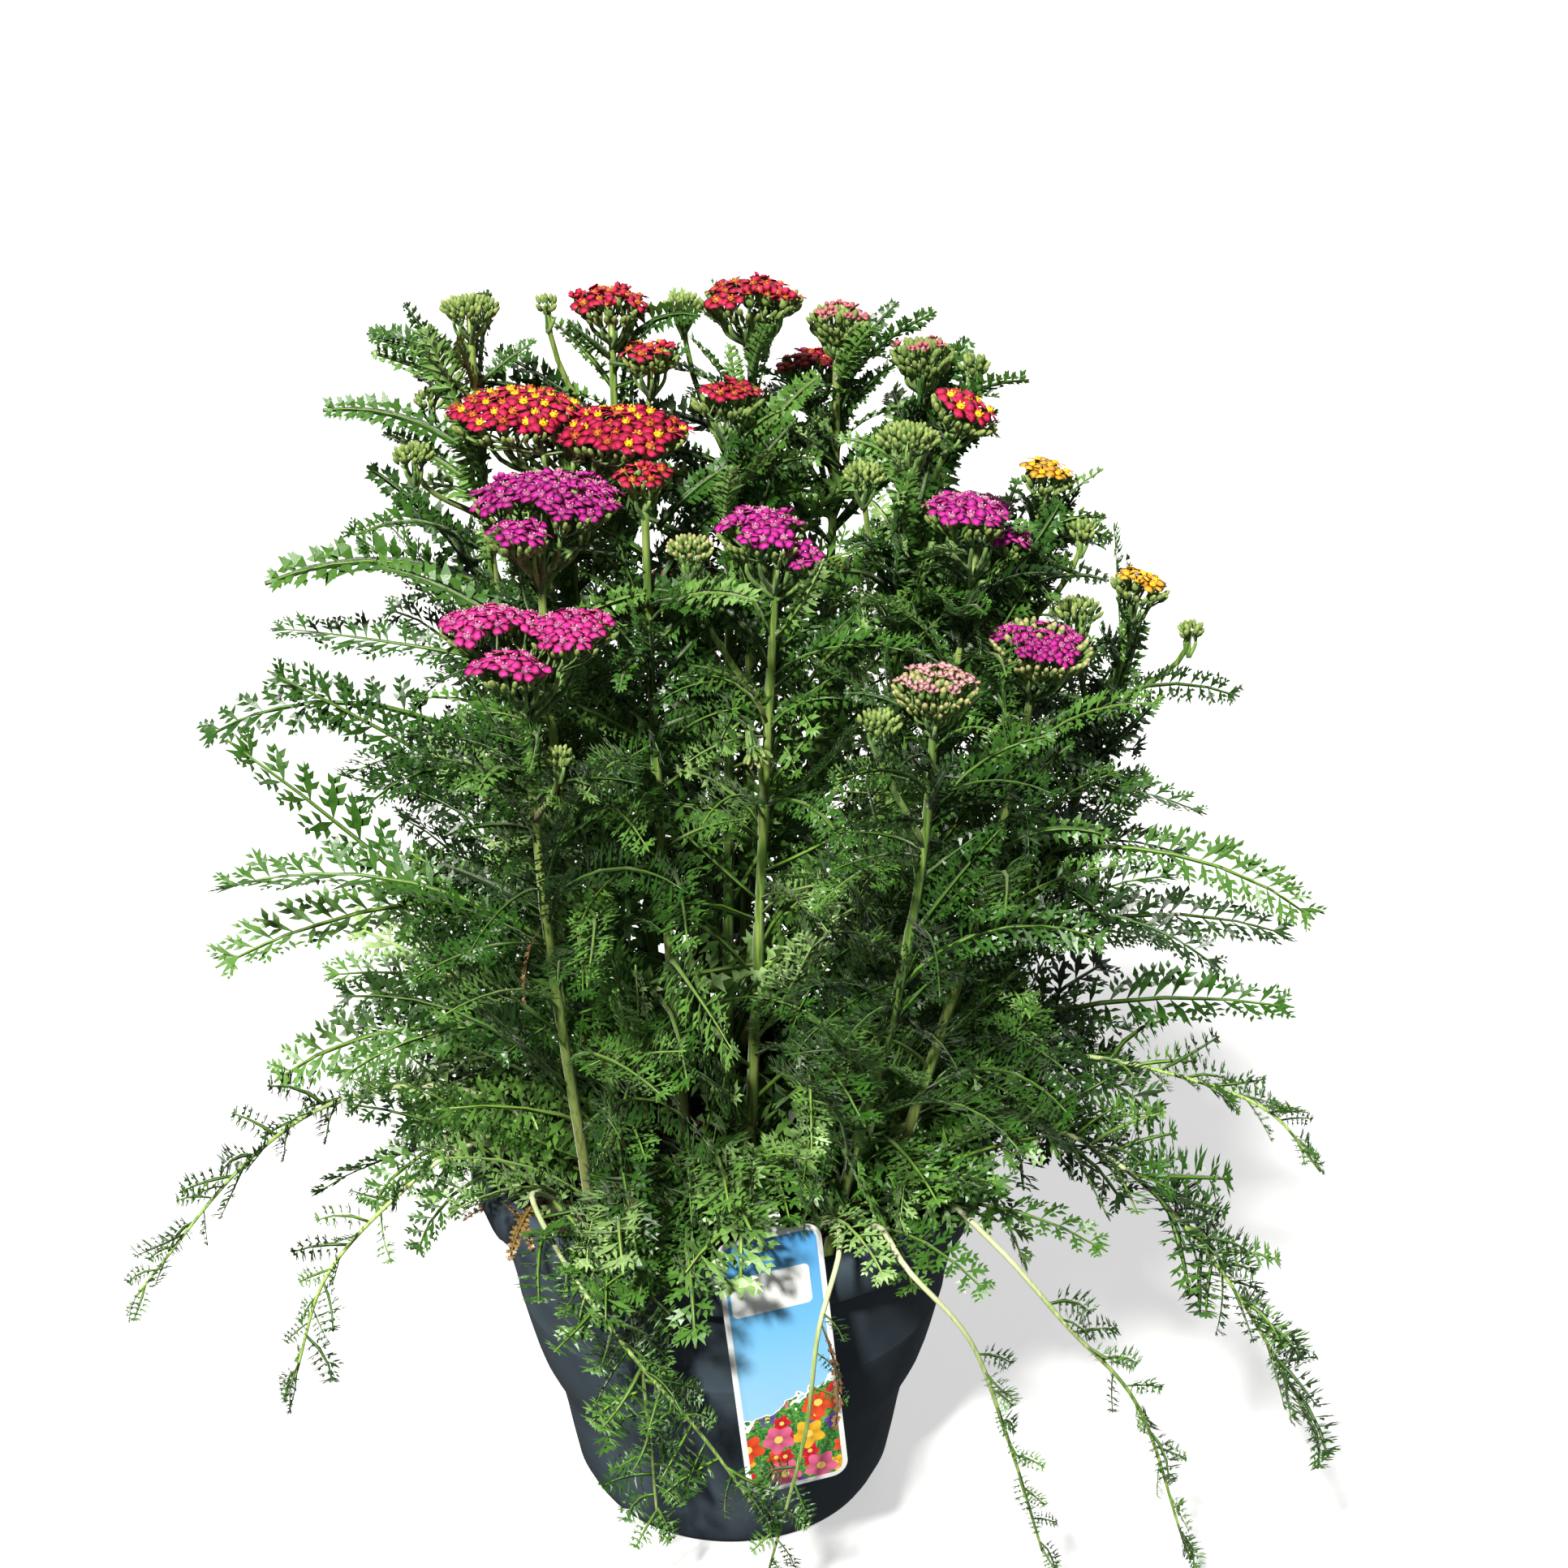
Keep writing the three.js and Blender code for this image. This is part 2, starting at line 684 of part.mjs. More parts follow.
// A flat-topped head: florets in a close six-sided packing over one or more low domes, above a shallow cup.
// Each floret has a raised eye, petals that touch its neighbours' and pits between them.
function corymb({ at, half, tile, lobes = [[0, 0, 0, half]], tilt = [0, 0], hanging = false }) {
  const size = tile ?? (half < 7 ? 1.9 * half : 0.68 * half);
  const upright = vector(0, 0, 1).addScaledVector(heading(tilt[0]), Math.tan(radians(tilt[1])));
  const normal = (hanging ? vector(0.3, -0.3, -1) : upright).normalize();
  const turn = new THREE.Quaternion().setFromUnitVectors(vector(0, 0, 1), normal);
  const place = (x, y, z) => vector(x, y, z).applyQuaternion(turn).add(vector(...at));
  const share = ([dx, dy, , radius], x, y) => Math.hypot(x - dx, y - dy) / radius;
  const surface = (x, y) => {
    const lobe = lobes.reduce((best, next) => (share(next, x, y) < share(best, x, y) ? next : best));
    return lobe[2] - DOME_DROP * lobe[3] * share(lobe, x, y) ** 2;
  };
  const points = [];
  const known = new Map();
  const pointAt = (x, y, lift) => {
    const key = `${Math.round(x * 100)},${Math.round(y * 100)}`;
    if (!known.has(key)) {
      known.set(key, points.length);
      points.push(place(x, y, surface(x, y) + lift));
    }
    return known.get(key);
  };
  const isTile = (row, column) => {
    const [x, y] = tileCentre(row, column, size);
    const isInside = ([dx, dy, , radius]) => Math.hypot(x - dx, y - dy) < radius - 0.42 * size;
    return (row === 0 && column === 0) || lobes.some(isInside);
  };
  const faces = [];
  for (let row = -TILE_ROWS; row <= TILE_ROWS; row += 1) {
    for (let column = -TILE_ROWS; column <= TILE_ROWS; column += 1) {
      if (!isTile(row, column)) {
        continue;
      }
      const [x, y] = tileCentre(row, column, size);
      const eye = pointAt(x, y, EYE_RISE * size);
      const edge = [];
      NEXT_TILES.forEach(([up, along], k) => {
        if (isTile(row + up, column + along)) {
          const petal = radians(60 * k);
          edge.push(pointAt(x + (size / 2) * Math.cos(petal), y + (size / 2) * Math.sin(petal), 0));
        }
        const pit = radians(60 * k + 30);
        const reach = size / Math.sqrt(3);
        edge.push(pointAt(x + reach * Math.cos(pit), y + reach * Math.sin(pit), -PIT_DEPTH * size));
      });
      edge.forEach((point, k) => faces.push([eye, point, edge[(k + 1) % edge.length]]));
    }
  }
  const lowest = Math.min(...lobes.map((lobe) => lobe[2]));
  const depth = 4 + 0.3 * half - 0.6 * lowest;
  const middle = [0, 1].map((k) => lobes.reduce((sum, lobe) => sum + lobe[k] * lobe[3], 0));
  const weight = lobes.reduce((sum, lobe) => sum + lobe[3], 0);
  const apex = place(middle[0] / weight, middle[1] / weight, -depth);
  points.push(apex);
  const edges = new Set(faces.flatMap(([a, b, c]) => [`${a},${b}`, `${b},${c}`, `${c},${a}`]));
  for (const edge of [...edges]) {
    const [a, b] = edge.split(",").map(Number);
    if (!edges.has(`${b},${a}`)) {
      faces.push([b, a, points.length - 1]);
    }
  }
  return { solid: solidFromFaces(points, faces), apex, normal, place, depth, lobes, half };
}

// The green rays that carry a head, from the fork near the top of its stalk to just below the head: two or
// three under its main dome and one under each other lobe.
function rays({ solid, lobes, half, place, apex, normal }, fork) {
  if (half < 7) {
    return [];
  }
  const rayTo = ([dx, dy, dz, radius], azimuth) => {
    const edge = heading(azimuth).multiplyScalar(radius);
    const rim = place(dx + edge.x, dy + edge.y, dz - 0.34 * radius);
    const end = apex.clone().lerp(rim, RAY_REACH);
    let stalk = null;
    do {
      end.addScaledVector(normal, -RAY_STEP);
      stalk = ray(fork, end, RAY_RADIUS, 0.1 * radius + 0.7);
    } while (stalk.minGap(solid, 1) < CLEARANCE);
    return stalk;
  };
  const [dome, ...others] = lobes;
  const azimuths = dome[3] < SMALL_HEAD ? [20, 200] : [80, 200, 320];
  const outward = ([dx, dy]) => degrees(Math.atan2(dy, dx));
  const domeRays = azimuths.map((azimuth) => rayTo(dome, azimuth));
  return [...domeRays, ...others.map((lobe) => rayTo(lobe, outward(lobe)))];
}

// ---- Pot, soil and label ------------------------------------------------------------------------

// A lathed shape turned from three.js's Y axis to +Z, with each point moved by a formula of its place.
function lathed(profile, segments, reshape) {
  const outline = profile.map(([r, z]) => new THREE.Vector2(r, z));
  const geometry = new THREE.LatheGeometry(outline, segments);
  geometry.rotateX(Math.PI / 2);
  const place = geometry.attributes.position;
  for (let i = 0; i < place.count; i += 1) {
    const [x, y, z] = reshape(place.getX(i), place.getY(i), place.getZ(i));
    place.setXYZ(i, x, y, z);
  }
  return solidFromGeometry(geometry);
}

function gripShare(x, y) {
  const azimuth = degrees(Math.atan2(y, x)) - GRIP_AZIMUTH;
  const off = Math.abs(((((azimuth + 90) % 180) + 180) % 180) - 90);
  return THREE.MathUtils.smoothstep(GRIP_HALF_SPAN + GRIP_FADE / 2 - off, 0, GRIP_FADE);
}

function drillPrism(x, y, z, radius, depth, sides) {
  const geometry = new THREE.CylinderGeometry(radius, radius, depth, sides, 1);
  geometry.rotateX(Math.PI / 2);
  geometry.translate(x, y, z);
  return solidFromGeometry(geometry);
}

function buildPot() {
  const profile = [[0, 0], [BASE_RADIUS, 0], ...POT_OUTSIDE, ...POT_RIM, ...POT_INSIDE, [0, FLOOR_TOP]];
  const rimEdge = POT_RIM[0][0];
  let pot = lathed(profile, POT_SEGMENTS, (x, y, z) => {
    const radius = Math.hypot(x, y);
    const isRimEdge = Math.abs(radius - rimEdge) < 0.01 && z < RIM_UNDER;
    if (!isRimEdge) {
      return [x, y, z];
    }
    const share = gripShare(x, y);
    const scale = 1 - (GRIP_TUCK * share) / radius;
    return [x * scale, y * scale, z - GRIP_DROP * share];
  });
  for (let i = 0; i < DRAIN_HOLES; i += 1) {
    const spot = heading(45 + (360 * i) / DRAIN_HOLES).multiplyScalar(DRAIN_HOLE_CIRCLE);
    pot = pot.subtract(drillPrism(spot.x, spot.y, 0, DRAIN_HOLE_RADIUS, DRILL_LENGTH, 6));
  }
  return pot;
}

function soilHeight(x, y) {
  return SOIL_TOP + SOIL_RELIEF * Math.sin(x / 17 + 1) * Math.cos(y / 14) - 0.0004 * (x * x + y * y);
}

function buildSoil(feet) {
  const inside = POT_INSIDE.map(([r, z]) => [r - CLEARANCE, z]).reverse();
  const bottom = FLOOR_TOP + CLEARANCE;
  inside[0][1] = bottom;
  inside.pop();
  const [[upperRadius, upperHeight], [lowerRadius, lowerHeight]] = POT_INSIDE;
  const slope = (upperRadius - lowerRadius) / (upperHeight - lowerHeight);
  const edge = lowerRadius + slope * (SOIL_TOP - SOIL_RELIEF - lowerHeight) - 1.5;
  const profile = [[0, bottom], ...inside, [edge, SOIL_TOP], [edge / 2, SOIL_TOP], [0, SOIL_TOP]];
  let soil = lathed(profile, POT_SEGMENTS, (x, y, z) => [x, y, z === SOIL_TOP ? soilHeight(x, y) : z]);
  for (const { x, y, corner } of feet) {
    const middle = SOIL_TOP - HOLE_DEPTH + DRILL_LENGTH / 2;
    soil = soil.subtract(drillPrism(x, y, middle, corner, DRILL_LENGTH, 4));
  }
  const slot = labelNeck(LABEL_NECK_WIDTH + 2 * CLEARANCE, LABEL_THICKNESS + 2 * CLEARANCE, -2);
  return soil.subtract(slot);
}

// The square hole that a stalk of this radius stands in, wide enough for its lean between two of its points.
function holeFor(from, next, radius) {
  const halfLean = next.clone().sub(from).multiplyScalar((0.5 * (STEM_SINK + 2)) / (next.z - from.z));
  const corner = Math.abs(halfLean.x) + Math.abs(halfLean.y) + Math.SQRT2 * (radius + CLEARANCE);
  return { x: from.x + halfLean.x, y: from.y + halfLean.y, corner };
}

function labelFrame() {
  const lean = new THREE.Matrix4().makeRotationY(-radians(LABEL_LEAN));
  const yaw = new THREE.Matrix4().makeRotationZ(radians(LABEL_YAW));
  return new THREE.Matrix4().makeTranslation(...LABEL_TOP).multiply(yaw).multiply(lean);
}

// The neck: a flat strip bent over the rim. extra lengthens its lower end.
function labelNeck(width, thickness, extra) {
  const line = LABEL_NECK.map(([y, z]) => vector(0, y, z));
  line[line.length - 1].z += extra;
  const outer = [];
  const inner = [];
  line.forEach((point, i) => {
    const before = line[Math.max(i - 1, 0)];
    const after = line[Math.min(i + 1, line.length - 1)];
    const along = after.clone().sub(before).normalize();
    const across = vector(0, -along.z, along.y).multiplyScalar(thickness / 2);
    outer.push(new THREE.Vector2(point.y + across.y, point.z + across.z));
    inner.push(new THREE.Vector2(point.y - across.y, point.z - across.z));
  });
  const section = new THREE.Shape([...outer, ...inner.reverse()]);
  const geometry = new THREE.ExtrudeGeometry(section, { depth: width, bevelEnabled: false });
  geometry.translate(0, 0, -width / 2);
  // the section was drawn in x and y: turn it so that it stands across the label
  geometry.applyMatrix4(new THREE.Matrix4().set(0, 0, 1, 0, 1, 0, 0, 0, 0, 1, 0, 0, 0, 0, 0, 1));
  return solidFromGeometry(geometry.applyMatrix4(labelFrame()));
}

function buildLabel() {
  const [half, corner] = [LABEL_WIDTH / 2, LABEL_CORNER];
  const plate = new THREE.Shape();
  plate.absarc(half - corner, -corner, corner, 0, Math.PI / 2);
  plate.absarc(-half + corner, -corner, corner, Math.PI / 2, Math.PI);
  plate.absarc(-half + corner, -LABEL_LENGTH + corner, corner, Math.PI, 1.5 * Math.PI);
  plate.absarc(half - corner, -LABEL_LENGTH + corner, corner, 1.5 * Math.PI, 2 * Math.PI);
  const options = { depth: LABEL_THICKNESS, bevelEnabled: false, curveSegments: 2 };
  const geometry = new THREE.ExtrudeGeometry(plate, options);
  geometry.translate(0, 0, -LABEL_THICKNESS / 2);
  geometry.rotateX(Math.PI / 2);
  geometry.applyMatrix4(labelFrame());
  return solidFromGeometry(geometry).add(labelNeck(LABEL_NECK_WIDTH, LABEL_THICKNESS, 0));
}

// ---- Putting the stems up -----------------------------------------------------------------------

// A stalk's middle line: it leaves its foot leaning towards its head and meets the head square.
function stalkCurve(from, to, normal) {
  const reach = 0.4 * from.distanceTo(to);
  const lean = to.clone().sub(from).multiplyScalar(0.35).add(from);
  return new THREE.CubicBezierCurve3(from, lean, to.clone().addScaledVector(normal, -reach), to);
}

function buildStem(stem, index, feet) {
  const corymbs = [...stem.heads, ...stem.buds].map((head) => ({ ...head, ...corymb(head) }));
  const [x, y] = stem.foot;
  const parts = [];
  let main = null;
  corymbs.forEach((head, i) => {
    const isBud = i >= stem.heads.length;
    const end = head.apex.clone().addScaledVector(head.normal, isBud ? BUD_SINK : -CLEARANCE - 0.15);
    const fork = head.apex.clone().addScaledVector(head.normal, -(3 + 0.4 * Math.min(head.half, 20)));
    if (main === null) {
      main = stalkCurve(vector(x, y, SOIL_TOP - STEM_SINK), end, head.normal);
      parts.push(stemAlong(main, STEM_RADIUS, STEM_SIDES, STEM_STEPS));
    } else {
      const start = main.getPoint(head.hanging ? 0.7 : 0.76 + 0.05 * i);
      const branch = stalkCurve(start, end, head.hanging ? vector(0, -1, 0) : head.normal);
      parts.push(stemAlong(branch, BRANCH_RADIUS, BRANCH_SIDES, BRANCH_STEPS));
    }
    parts.push(...rays(head, fork));
    if (isBud) {
      parts.push(head.solid);
    } else {
      stand(head.name, head.solid);
    }
  });
  const [bottom, next] = main.getSpacedPoints(STEM_STEPS);
  feet.push(holeFor(bottom, next, STEM_RADIUS));
  return { ...stem, index, curve: main, parts, flowers: corymbs.slice(0, stem.heads.length) };
}

// A stem's leaves spiral up it. On an outer stem they keep to the side that faces out of the clump.
function leafStem({ name, index, curve, parts, leaves }) {
  const top = curve.getPoint(1);
  const outward = degrees(Math.atan2(top.y, top.x));
  const swing = Math.hypot(top.x, top.y) > CLUMP_CORE ? 0.5 : 1;
  for (const [place, azimuth, length, rise, droop] of leaves) {
    growLeaf(name, parts, leafOf(curve.getPoint(place), azimuth, length, rise, droop));
  }
  for (let i = 0; i < LEAVES_PER_STEM; i += 1) {
    const along = (i + 0.5) / LEAVES_PER_STEM;
    const root = curve.getPoint(lerp(LEAF_LOWEST, LEAF_HIGHEST, along));
    const length = lerp(LEAF_LENGTH_LOW, LEAF_LENGTH_HIGH, along) * (0.88 + 0.24 * draw(index, 3 * i));
    const spiral = ((GOLDEN_ANGLE * i + 40 * index + 180) % 360) - 180;
    const azimuth = outward + swing * spiral + 30 * (draw(index, 3 * i + 1) - 0.5);
    const rise = 34 + 26 * draw(index, 3 * i + 2);
    growLeaf(name, parts, leafOf(root, azimuth, length, rise, rise - 56));
  }
}

function growFronds(name, parts, fronds, rootOf) {
  fronds.forEach(([azimuth, length, rise, droop], i) => {
    growLeaf(name, parts, leafOf(rootOf(i), azimuth, length, rise, droop));
  });
}

function buildRunner({ path }, feet) {
  const [x, y, z] = path[0];
  const points = [vector(x, y, z - STEM_SINK), ...path.map((point) => vector(...point))];
  const { curve, solid } = trailing(points, 3);
  const [bottom, next] = curve.getSpacedPoints(RUNNER_STEPS - 1);
  feet.push(holeFor(bottom, next, RUNNER_RADIUS));
  return { curve, parts: [solid] };
}

function leafRunner({ name, fronds, curve, parts }) {
  growFronds(name, parts, fronds, (i) => curve.getPointAt(0.09 + 0.035 * i));
}

function buildTuft({ foot, runner }, feet) {
  const [x, y] = foot;
  const top = SOIL_TOP + CROWN_HEIGHT;
  const crown = new THREE.LineCurve3(vector(x, y, SOIL_TOP - STEM_SINK), vector(x, y, top));
  const parts = [stemAlong(crown, STEM_RADIUS, STEM_SIDES, 1)];
  if (runner) {
    const points = [vector(x, y, top - 3), ...runner.map((point) => vector(...point))];
    parts.push(trailing(points, 2).solid);
  }
  feet.push({ x, y, corner: Math.SQRT2 * (STEM_RADIUS + CLEARANCE) });
  return { parts };
}

function leafTuft({ name, foot, fronds, parts }) {
  growFronds(name, parts, fronds, (i) => vector(foot[0], foot[1], SOIL_TOP + 3 + FROND_SPACING * i));
}

// ---- Assembly -----------------------------------------------------------------------------------

const feet = [];
const pot = buildPot();
const label = buildLabel();
stand("pot", pot);
stand("label", label);

const stems = FLOWERING_STEMS.map((stem, index) => buildStem(stem, index, feet));
const runners = RUNNERS.map((runner) => ({ ...runner, ...buildRunner(runner, feet) }));
const tufts = TUFTS.map((tuft) => ({ ...tuft, ...buildTuft(tuft, feet) }));
const soil = buildSoil(feet);
stand("soil", soil);
for (const { name, parts } of [...stems, ...runners, ...tufts]) {
  parts.forEach((part) => stand(name, part));
}
runners.forEach(leafRunner);
tufts.forEach(leafTuft);
stems.forEach(leafStem);

addPiece("pot", pot, POT_COLOUR, 0.55);
addPiece("soil", soil, SOIL_COLOUR, 0.95);
addPiece("label", label, LABEL_COLOUR, 0.35);
for (const { name, parts, flowers = [] } of [...stems, ...runners, ...tufts]) {
  const green = wasm.Manifold.union(parts);
  for (const head of flowers) {
    addPiece(head.name, head.solid, PETALS[head.petal], 0.6);
  }
  addPiece(name, green, flowers.length > 0 ? STEM_COLOUR : LEAF_COLOUR, 0.7);
}

export default plant;
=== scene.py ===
# %% [markdown]
# # A potted yarrow
#
# A yarrow in flower is thousands of small parts: each leaf is cut twice into narrow lobes, and each flat head is a
# crowd of little five-petalled flowers on branching stalks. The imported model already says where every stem, leaf,
# head and runner is. This lesson models each small part once, by hand, and then lays copies of it where the packed
# model has its plain form. Lengths are in millimetres, and turned to metres at the end.

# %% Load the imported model
from math import atan2, cos, degrees, hypot, pi, radians, sin, sqrt

import bmesh
import bpy
import numpy as np
from mathutils import Matrix, Vector, noise
from mathutils.kdtree import KDTree


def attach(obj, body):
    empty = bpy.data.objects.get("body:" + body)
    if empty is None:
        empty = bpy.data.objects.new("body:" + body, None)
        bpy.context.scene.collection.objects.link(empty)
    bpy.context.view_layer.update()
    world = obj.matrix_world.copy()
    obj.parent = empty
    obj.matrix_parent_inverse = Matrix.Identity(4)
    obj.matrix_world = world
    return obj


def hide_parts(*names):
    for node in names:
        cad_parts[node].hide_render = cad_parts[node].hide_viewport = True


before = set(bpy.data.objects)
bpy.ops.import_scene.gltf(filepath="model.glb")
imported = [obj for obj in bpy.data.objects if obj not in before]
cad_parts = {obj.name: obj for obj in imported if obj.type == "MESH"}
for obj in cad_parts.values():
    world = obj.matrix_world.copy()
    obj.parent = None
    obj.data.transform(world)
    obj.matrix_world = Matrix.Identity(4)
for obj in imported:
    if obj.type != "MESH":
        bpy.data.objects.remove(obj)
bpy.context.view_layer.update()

MM = 0.001
SEEDS = dict(bark=41, fill=100, stem=300, head=500, runner=700, tuft=750, cluster=800, crown=900, facing=910,
             withered=930)


def chance_for(what, index=0):
    """The source of random draws for a thing, which is the same in every run."""
    return np.random.default_rng(SEEDS[what] + index)


# %% [markdown]
# ## The camera and the light
#
# The plant stands on the ground and is seen from a standing person's height, so the camera looks down by 25 degrees
# from in front. The key light stands for a bright sky: high, a little to the left, and a few degrees across, so that
# a leaf throws a soft-edged shadow on the pot and on the label. It is a sun lamp, because an area lamp would leave
# the far floor grey. Two area lamps and a faint world keep the shaded leaves from going black.

# %% Camera and lamps
camera_data = bpy.data.cameras.new("view")
camera_data.lens = 62.57
camera_data.sensor_width = 36.0
camera_data.sensor_fit = "HORIZONTAL"
camera = bpy.data.objects.new("view", camera_data)
camera.location = (0.0196, -0.850, 0.680)
camera.rotation_euler = (radians(65.05), 0.0, 0.0)
bpy.context.collection.objects.link(camera)
bpy.context.scene.camera = camera


def hang_lamp(name, kind, place, energy, colour, **spread_of_light):
    """A lamp that shines from its place towards the middle of the plant."""
    lamp = bpy.data.lights.new(name, kind)
    lamp.energy, lamp.color = energy, colour
    for setting, value in spread_of_light.items():
        setattr(lamp, setting, value)
    holder = bpy.data.objects.new(name, lamp)
    holder.location = place
    holder.rotation_euler = (Vector((0, 0, 0.25)) - Vector(place)).to_track_quat("-Z", "Y").to_euler()
    bpy.context.collection.objects.link(holder)


hang_lamp("key", "SUN", (-0.55, -1.4, 1.9), 7.2, (1.0, 0.98, 0.93), angle=radians(5))
hang_lamp("side", "AREA", (1.6, -1.0, 1.0), 3.6, (0.94, 0.97, 1.0), size=1.4)
hang_lamp("behind", "AREA", (0.3, 1.7, 1.3), 9.0, (1.0, 1.0, 1.0), size=1.4)

world = bpy.data.worlds.new("studio")
world.use_nodes = True
world.node_tree.nodes["Background"].inputs["Color"].default_value = (0.96, 0.98, 1.0, 1.0)
world.node_tree.nodes["Background"].inputs["Strength"].default_value = 0.12
bpy.context.scene.world = world
bpy.context.scene.view_settings.view_transform = "Standard"
print("lamps", [lamp.name for lamp in bpy.data.lights])

# %% [markdown]
# ## Working by hand, in code
#
# In edit mode an operator acts on everything that is selected, so each step starts from nothing selected and then
# picks vertices, edges or faces by their place. `begin` adds a primitive, `choose` picks in it, and `take` reads the
# finished shape into arrays, which is what the copies are made from.

# %% Picking and reading
def begin(primitive, **settings):
    """Adds a primitive with nothing else selected and leaves it in object mode, with its place in its mesh."""
    bpy.ops.object.select_all(action="DESELECT")
    primitive(**settings)
    piece = bpy.context.active_object
    bpy.ops.object.transform_apply(location=True, rotation=True, scale=True)
    return piece


def choose(piece, kind="VERT", test=lambda item: True):
    """Enters edit mode with just the vertices, edges or faces selected that pass the test."""
    if piece.mode != "EDIT":
        bpy.ops.object.mode_set(mode="EDIT")
    bpy.ops.mesh.select_mode(type=kind)
    bpy.ops.mesh.select_all(action="DESELECT")
    net = bmesh.from_edit_mesh(piece.data)
    for item in {"VERT": net.verts, "EDGE": net.edges, "FACE": net.faces}[kind]:
        item.select_set(bool(test(item)))
    net.select_flush_mode()
    bmesh.update_edit_mesh(piece.data)


def select_only(*pieces):
    """Selects just these objects and makes the last of them the active one."""
    bpy.ops.object.select_all(action="DESELECT")
    for piece in pieces:
        piece.select_set(True)
    bpy.context.view_layer.objects.active = pieces[-1]


def shift(x, y, z):
    """Moves what is selected."""
    bpy.ops.transform.translate(value=(x, y, z))


def resize(x, y, z):
    """Scales what is selected about the origin."""
    bpy.ops.transform.resize(value=(x, y, z), center_override=(0, 0, 0))


def turn_about(axis, angle):
    """Turns what is selected about an axis through the origin."""
    bpy.ops.transform.rotate(value=angle, orient_axis=axis, center_override=(0, 0, 0))


class Shape:
    """Triangles as arrays: points, faces, and for each face its skin and whether it is shaded smooth."""

    def __init__(self, points, faces, skin="blade", smooth=False, along=0.0):
        self.points = np.asarray(points, float)
        self.faces = np.asarray(faces, int)
        self.skin = np.broadcast_to(np.asarray(skin, dtype="U16"), len(self.faces)).copy()
        self.smooth = np.broadcast_to(smooth, len(self.faces)).copy()
        self.along = np.broadcast_to(np.asarray(along, float), len(self.points)).copy()

    def laid(self, points):
        """A copy of the shape with its points elsewhere."""
        return Shape(points, self.faces, self.skin, self.smooth, self.along)

    def moved(self, matrix):
        grid = np.array(matrix)
        copy = self.laid(self.points @ grid[:3, :3].T + grid[:3, 3])
        if np.linalg.det(grid[:3, :3]) < 0:
            copy.faces = copy.faces[:, ::-1]
        return copy


def joined(shapes):
    """One shape from several."""
    starts = np.cumsum([0] + [len(shape.points) for shape in shapes])
    faces = [shape.faces + start for shape, start in zip(shapes, starts)]
    rest = ([getattr(shape, part) for shape in shapes] for part in ("skin", "smooth", "along"))
    return Shape(*map(np.concatenate, ([shape.points for shape in shapes], faces, *rest)))


def take(piece, skin, smooth=False, along=None):
    """Reads a finished primitive into a Shape and clears it away."""
    choose(piece, "FACE")
    bpy.ops.mesh.normals_make_consistent(inside=False)
    bpy.ops.mesh.quads_convert_to_tris()
    bpy.ops.object.mode_set(mode="OBJECT")
    points = np.array([vertex.co for vertex in piece.data.vertices])
    faces = np.array([face.vertices for face in piece.data.polygons])
    bpy.data.objects.remove(piece, do_unlink=True)
    return Shape(points, faces, skin, smooth, 0.0 if along is None else along(points))


ALONG_X = dict(depth=1, location=(0.5, 0, 0), rotation=(0, pi / 2, 0))  # for a cone or a cylinder from 0 to 1 along X


def spread(x=0, y=0, z=0, turn=(0, 0, 0), size=(1, 1, 1)):
    """The matrix that sizes a copy, turns it about X, then Y, then Z, in degrees, and moves it."""
    rx, ry, rz = (Matrix.Rotation(radians(a), 4, axis) for a, axis in zip(turn, "XYZ"))
    return Matrix.Translation((x, y, z)) @ rz @ ry @ rx @ Matrix.Diagonal((*size, 1))


# %% [markdown]
# ## A yarrow leaf
#
# A yarrow leaf is feathery: a green rib with a dozen or more pairs of leaflets, and each leaflet is itself cut into
# narrow pointed lobes that stand at slightly different angles. A flat card with a cut-out picture would look thin
# from the side, so every lobe here is a real blade. There are tens of thousands of them, and so one lobe is only four
# triangles: a three-sided cone laid on its side, flattened, with its shoulders pulled forward into the shape of a
# lance. Lobes are copied into a leaflet, leaflets into a leaf, and leaves onto the plant.

# %% One lobe
def model_lobe():
    """A lance-shaped blade from (0, 0, 0) to (1, 0, 0), one wide, folded a little along its middle."""
    lobe = begin(bpy.ops.mesh.primitive_cone_add, vertices=3, radius1=0.577, **ALONG_X)
    choose(lobe)
    turn_about("X", pi / 2)
    resize(1, 1, 0.45)
    choose(lobe, "VERT", lambda vertex: abs(vertex.co.y) > 0.3)
    shift(0.46, 0, 0)
    return take(lobe, "blade")


LOBE = model_lobe()
print("lobe", len(LOBE.faces), "faces, from", LOBE.points.min(0).round(2), "to", LOBE.points.max(0).round(2))

# %% [markdown]
# The same plant carries several kinds of leaf. In each a leaflet widens outwards like a fan: most of its lobes sit in
# its outer half. Low down the lobes are narrow. On the flowering stems they are short and close, and near the flowers
# the leaf is a strap with teeth. The big basal leaves have broad lobes, like parsley, and the sprigs on the runners
# have few leaflets. Each lobe is written as how far along the leaflet it starts, its angle, its length and its width,
# in shares of the leaflet's length. Leaves deep inside the plant, which only show as a darker green between the
# others, get the plainest copy.

